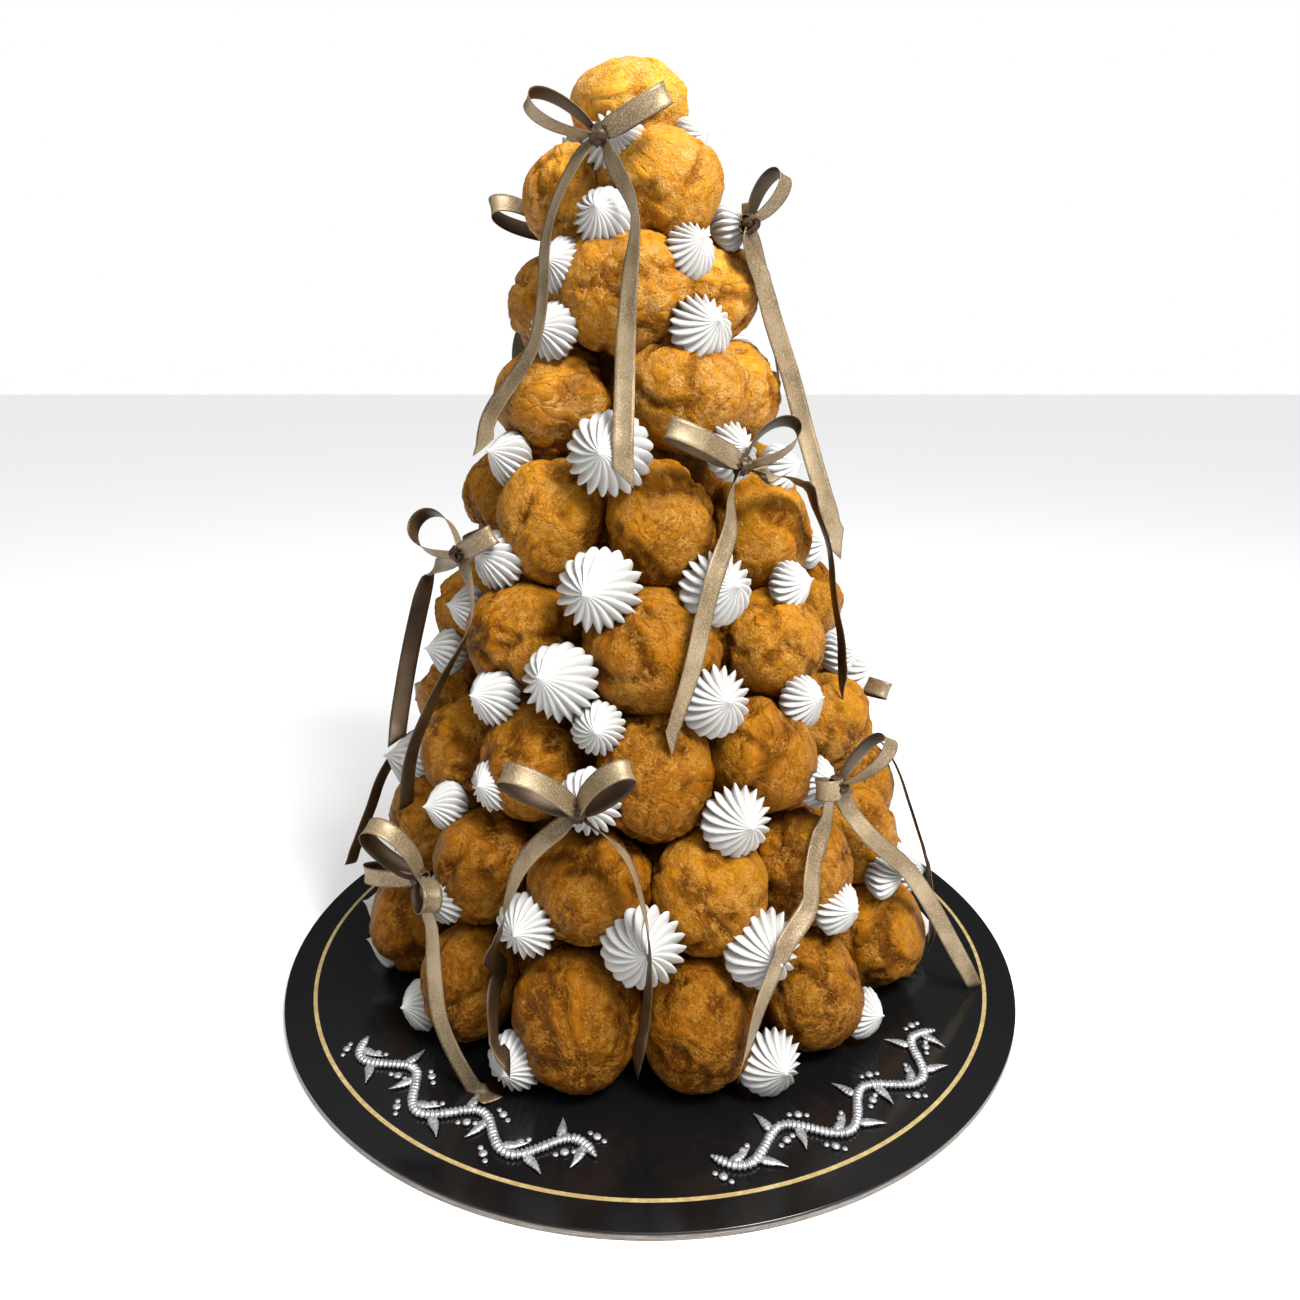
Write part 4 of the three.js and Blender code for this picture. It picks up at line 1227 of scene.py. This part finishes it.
bows = [
    dict(knot=(-12.6, 423), faces=0,
         loops=[loop(156, 33, tilt=60, lean=10, opening=8, twist=40), loop(27, 34, tilt=8, lean=10)],
         tails=[tail(37, (-24, 412, 27), (-34, 388, 23), (-35, 340, 14), (-53, 306, -22), (-54, 292, -27),
                     cut=-1),
                tail(55, (-6, 411, 43), (2, 392, 74), (0, 367, 38), (-2, 336, 17), (-3, 283, -3))]),
    dict(knot=(65, 391), faces=25,
         loops=[loop(60, 26, tilt=22, twist=-40, faces=20), loop(15, 26, tilt=10, faces=115)],
         tails=[tail(1, (64, 381, 10, 26), (71, 371, 48, 26), (80, 340, 80, 25), (81, 301, 81, 26),
                     (78, 264, 76, 26), (80, 235, 41, 28)),
                tail(30, (84, 360, 20), (96, 330, 10), (98, 300, 10))]),
    dict(knot=(-136, 392), faces=-110, loops=[loop(15, 46, tilt=20), loop(160, 30)],
         tails=[tail(0, (-142, 362, 0), (-146, 322, 10), (-150, 290, 20), cut=-1),
                tail(30, (-128, 366, 30), (-124, 336, 90), (-126, 306, 160))]),
    dict(knot=(32, 287), faces=15,
         loops=[loop(154, 43, tilt=-12, lean=14), loop(30, 34, tilt=55, lean=-14)],
         tails=[tail(-77, (27, 273, -43), (25, 260, -22), (18, 240, -12), (12, 205, -20), (6, 172, -46)),
                tail(-62, (56, 276, -58), (60, 262, -42), (66, 240, -30), (66, 213, -34), (60, 175, -53))]),
    dict(knot=(-56, 243), faces=-20,
         loops=[loop(158, 35, tilt=62, lean=-20, opening=12, twist=-15),
                loop(30, 30, tilt=0, lean=32, opening=6, faces=-10)],
         tails=[tail(-43, (-82, 227, -20, 31), (-84, 219, 45, 35), (-82, 209, 75, 35), (-79, 184, 88, 35),
                     (-73, 151, 86, 34), (-70, 142, 77, 34)),
                tail(0, (-46, 232, 28, 34), (-43, 219, 32, 34), (-45, 206, 53, 33), (-50, 189, 57, 32),
                     (-56, 164, 62, 31), (-61, 137, 61, 29), (-62, 114, 65, 27), cut=0.2)]),
    dict(knot=(-115, 130), faces=-115, loops=[loop(150, 28), loop(24, 26)],
         tails=[tail(25, (-93, 102, 28, 30), (-89, 84, 31, 34), (-86, 69, 34, 39), (-83, 57, 37, 43),
                     cut=0.4),
                tail(0, (-120, 104, 0), (-124, 80, 20), (-122, 54, 40))]),
    dict(knot=(-47, 94), faces=-15,
         loops=[loop(118, 39, tilt=-74, opening=13), loop(180, 29, tilt=0, lean=5, opening=5),
                loop(-30, 20, tilt=-82, lean=45)],
         tails=[tail(-6, (-42, 77, -2), (-40, 60, -8), (-36, 32, -12), (-30, 6, -15, 22),
                     (-26, 5.2, -7, 31), cut=0.4)]),
    dict(knot=(-11, 147), faces=-5,
         loops=[loop(140, 40, tilt=-48, opening=12), loop(50, 38, tilt=-48, opening=10)],
         tails=[tail(32, (-20, 126, 14), (-23, 106, 46), (-24, 90, 86), (-30, 52, 102), (-22, 30, 98)),
                tail(-114, (-3, 132, -84), (0, 112, -78), (1, 92, -97), (0, 55, -114), (-2, 29, -120),
                     cut=-1)]),
    dict(knot=(42, 143), faces=15,
         loops=[loop(172, 14, tilt=-14, lean=30, opening=7), loop(54, 34, tilt=8, twist=-50)],
         tails=[tail(-9, (41, 124, -5, 21), (35, 115, -6, 28), (32, 105, -3, 30), (30, 96, -5, 32),
                     (23, 87, -9, 38), (19, 67, -17, 34), (15, 33, -58, 30), cut=-1),
                tail(28, (53, 122, 30, 14), (56, 103, 38, 24), (61, 84, 39, 32), (65, 60, 47, 37),
                     (68, 31, 53, 44), (71, 5.2, 35, 56))]),
    dict(knot=(116, 142), faces=95, loops=[loop(170, 56), loop(22, 30)],
         tails=[tail(23, (90, 108, -3, 25), (87, 91, -6, 31), (84, 76, -9, 33), (76, 51, -17, 33),
                     (69, 29, -26, 25)),
                tail(0, (120, 114, 0), (124, 86, 15), (120, 56, 30))]),
    dict(knot=(150, 225), faces=150, loops=[loop(155, 34), loop(26, 34)],
         tails=[tail(20, (143, 200, 10), (140, 160, 0), (136, 122, 0), cut=-1),
                tail(0, (158, 196, 70), (160, 158, 150), (164, 128, 170))]),
    dict(knot=(-148, 118), faces=-148, loops=[loop(152, 36, tilt=-40), loop(28, 34, tilt=-40)],
         tails=[tail(0, (-156, 96, 20), (-158, 62, 90), (-152, 34, 160), cut=-1),
                tail(10, (-140, 92, 5), (-138, 60, 0), (-142, 30, 0))]),
]


print("bows:", len(bows))

# %% Grow the bows
knot_clear = 1.5
knot_inset = 4
tail_drop = 1.5
tail_aside = 2
# Each turn of a knot: how far it lies askew, and its size.
knot_turns = [(0.0, knot_size), (0.7, 0.85 * knot_size), (-0.8, 0.7 * knot_size)]


def bow_bands(bow):
    azimuth, z = bow["knot"]
    place = on_tower(azimuth, z, ring_at(z) + ribbon_stand)
    radius = max(ring_at(z) + ribbon_stand - knot_inset, clear_radius(place) + knot_size / 2 + knot_clear)
    knot = on_tower(azimuth, z, radius)
    bands = [knot_band(knot, azimuth, askew, size) for askew, size in knot_turns]
    for loop_asked in bow["loops"]:
        faces = bow["faces"] if loop_asked["faces"] is None else loop_asked["faces"]
        bands.append(loop_band(knot, dict(loop_asked, faces=faces)))
    for i, tail_asked in enumerate(bow["tails"]):
        aside = (2 * i - 1) * tail_aside if len(bow["tails"]) > 1 else 0
        bands.append(tail_band(knot - up * tail_drop + around(azimuth) * aside, tail_asked))
    return bands


def tiers_under(bow):
    """The tiers that a bow lies on, from the end of its longer tail up to its knot."""
    lowest = min(place[1] for hung in bow["tails"] for place in hung["past"])
    half = puff_height / 2
    return [f"puff_tier_{i + 1}" for i, tier in enumerate(tiers)
            if lowest - half < tier["rise"] + board_thickness < bow["knot"][1] + half]


for i, bow in enumerate(bows):
    name = f"ribbon_bow_{i + 1}"
    bands = bow_bands(bow)
    rows = [row for band in bands for row in band]
    piece = grown(f"bow_{i + 1}", points_with(name, rows), ribbon_bands, satin=satin)
    length = sum(band[-1]["run"] for band in bands) / mm
    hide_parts(name)
    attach(piece, "root")
    length * mm
    tiers_under(bow)
    print(piece.name, round(length), "mm of ribbon,", len(piece.data.polygons), "faces")

# %% [markdown]
# ## Piped silver icing
#
# Round the front of the board runs a vine in silver icing: two wavy stems with leaves and dots. Icing
# from a fine round nozzle comes out as a rope that beads a little as the hand moves, and lies down on the
# board under its own weight. A wavy line of points gives the rope its path, and its width swells and
# narrows along it in beads.

# %% Silver icing material
silver_dark = (0.24, 0.24, 0.245)
silver_pale = (0.66, 0.67, 0.68)


def silver_material():
    material, tree, shader = plain_material("silver_icing")
    place = on_object(tree)
    pearl = noise(tree, place, 1200.0, 3.0, 0.65)
    brush = noise(tree, place, 260.0, 2.0, 0.5, seed=6.0)
    colour = blend(tree, between(tree, pearl + brush * 0.5, 0.5, 1.0), silver_dark, silver_pale)
    feed(shader, base_color=colour, metallic=0.7, roughness=between(tree, pearl, 0.35, 0.7, 0.28, 0.5),
         normal=bump(tree, pearl + brush * 0.7, 0.25 * mm))
    return material


silver_icing = silver_material()
print("icing:", silver_icing.name)

# %% Ropes of icing
stem_middle = 167
stem_sway = 8
stem_waves = 3
stem_height = 3
stem_taper = 6  # how soon a stem is as thick as in its middle
stroke_sides = 10
bead_pitch = 2.1
bead_depth = 0.2
bead_uneven = 0.06


def stem_point(span, share):
    azimuth = span[0] + (span[1] - span[0]) * share
    radius = stem_middle + stem_sway * math.sin(2 * math.pi * stem_waves * share)
    return outward(azimuth) * radius + up * (board_thickness + stem_height / 2)


def piped(name, strokes, material):
    """Ropes of icing. Each stroke is a list of (point, half width, half height), laid on the board."""
    verts, faces = [], []
    for stroke in strokes:
        faces += tube_faces(len(stroke), stroke_sides, base=len(verts))
        ways = directions([p for p, _, _ in stroke])
        for (point, half_width, half_height), along in zip(stroke, ways):
            across = along.cross(up).normalized()
            for k in range(stroke_sides):
                angle = 2 * math.pi * k / stroke_sides
                verts.append(point + across * half_width * math.cos(angle)
                             + up * half_height * math.sin(angle))
    piece = meshed(name, verts, faces, material)
    piece.data.polygons.foreach_set("use_smooth", [len(face) == 4 for face in faces])
    return piece


def rope(points, half_width, half_height):
    """Gives a path its beads, and thins it at both ends."""
    run = run_of(points)
    stroke = []
    for i, point in enumerate(points):
        end = min(1, (min(run[i], run[-1] - run[i]) + 0.5) / stem_taper) ** 0.5
        bead = 1 + bead_depth * math.sin(2 * math.pi * run[i] / bead_pitch) + bead_uneven * scatter(i // 7)
        stroke.append((point, half_width * end * bead, half_height * end * bead))
    return stroke


print("beads every", bead_pitch, "mm")

# %% Leaves and dots
leaf_length = 12.5
leaf_width = 5
leaf_height = 2.4
leaf_beads = 40
dot_size = 4
dot_height = 2


def leaf(root, way, bend):
    """A squeezed teardrop with a slight bend: thick near its root, drawn out to a point."""
    flat = board_thickness + leaf_height / 2
    stroke = []
    for t in np.linspace(0, 1, 22):
        point = root + way * leaf_length * t + way.cross(up) * bend * leaf_length * t * t
        swell = (math.sin(math.pi * t ** 0.62) * 0.95 + 0.05) * (1 - 0.25 * t)
        share = swell * (1 + 0.1 * math.sin(leaf_beads * t))
        stroke.append((Vector((point.x, point.y, flat)), leaf_width / 2 * share, leaf_height / 2 * share))
    return stroke


def dot(place, along, size):
    """A drop of icing: a short stroke as long as it is wide, rounded at both ends."""
    half_height = dot_height / 2 * size / dot_size
    flat = Vector((place.x, place.y, board_thickness + half_height))
    return [(flat - along * size / 2 * math.cos(angle), size / 2 * math.sin(angle),
             half_height * math.sin(angle)) for angle in np.linspace(0.08, math.pi - 0.08, 10)]


print("leaf in mm:", leaf_length, "by", leaf_width)

# %% Lay the vines
stem_spans = {"left": (-58, -8), "right": (9, 60)}
stem_points = 420
stem_width = 4.2
leaves_a_wave = 4
leaf_bend = 0.25
small_dot_size = 2.6
dots_aside = 7
dots_apart = 3.9
# The dots of a cluster: how many steps along the stem, how far towards it, and how large.
cluster_dots = [(0, 0, dot_size), (1, -0.8, small_dot_size), (-1, 0.6, small_dot_size)]

leaf_count = leaves_a_wave * stem_waves
for hand, span in stem_spans.items():
    points = [stem_point(span, i / stem_points) for i in range(stem_points + 1)]
    strokes = [rope(points, stem_width / 2, stem_height / 2)]
    ways = directions(points)
    for n in range(leaf_count):
        i = round((n + 0.5) / leaf_count * stem_points)
        stem_side = 1 if n % 2 else -1
        away = ways[i].cross(up) * stem_side
        strokes.append(leaf(points[i] + away, (ways[i] * 0.8 + away).normalized(), leaf_bend * stem_side))
        cluster = points[i] - away * dots_aside
        for step, towards, size in cluster_dots:
            strokes.append(dot(cluster + ways[i] * dots_apart * step + away * towards, ways[i], size))
    piece = piped(f"icing_vine_{hand}", strokes, silver_icing)
    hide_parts(f"piped_stem_{hand}")
    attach(piece, "root")
    print(piece.name, len(strokes), "strokes,", len(piece.data.polygons), "faces")

# %% [markdown]
# ## Floor and light
#
# Food like this is shown on white. A small, strong softbox close above it at the front right gives it its
# shape, a wide, weak one at the front left fills the shade, and a very soft sun stands for a bright
# ceiling. Gloss board mirrors whatever stands round it, so the world is white where the camera looks
# straight at it, much darker where it is only mirrored, and lighter again overhead.

# %% Floor
floor_reach = 6000
floor_material, _, floor_shader = plain_material("studio_floor")
feed(floor_shader, base_color=(0.97, 0.97, 0.97, 1), roughness=0.9, specular_ior_level=0.1)
corners = [(x * floor_reach, y * floor_reach, 0) for x, y in ((-1, -1), (1, -1), (1, 1), (-1, 1))]
floor = meshed("floor", corners, [(0, 1, 2, 3)], floor_material)
print("floor:", floor.name)

# %% Lights
def softbox(name, place, aim, size, power):
    light = bpy.data.lights.new(name, "AREA")
    light.shape = "DISK"
    light.size = size
    light.energy = power
    lamp = placed(name, light)
    lamp.location = place
    lamp.rotation_euler = (Vector(aim) - Vector(place)).to_track_quat("-Z", "Y").to_euler()


softbox("key", (0.40, -0.50, 0.95), (0, 0, 0.3), size=0.34, power=16)
softbox("fill", (-1.2, -0.9, 0.9), (0, 0, 0.2), size=0.9, power=2.2)
window = bpy.data.lights.new("window", "SUN")
window.energy = 1.85
window.angle = math.radians(50)
placed("window", window).rotation_euler = (math.radians(25), math.radians(18), 0)

mirrored_white = 0.09  # how bright the world is in reflections, low down and overhead
mirrored_ceiling = 0.7
world = bpy.data.worlds.new("studio")
bpy.context.scene.world = world
world.use_nodes = True
sky = world.node_tree
background = sky.nodes["Background"]
seen = node(sky, "ShaderNodeLightPath", {}, {}, "Is Camera Ray")
above = parts(sky, node(sky, "ShaderNodeTexCoord"))[2]
overhead = between(sky, above, 0.5, 0.95, mirrored_white, mirrored_ceiling)
shown = node(sky, "ShaderNodeMix", {"data_type": "FLOAT"}, {
    "Factor": seen, "A_Float": overhead, "B_Float": 1.0})
sky.links.new(shown.socket, background.inputs["Strength"])
background.inputs["Color"].default_value = (1, 1, 1, 1)
bpy.context.scene.view_settings.view_transform = "Standard"
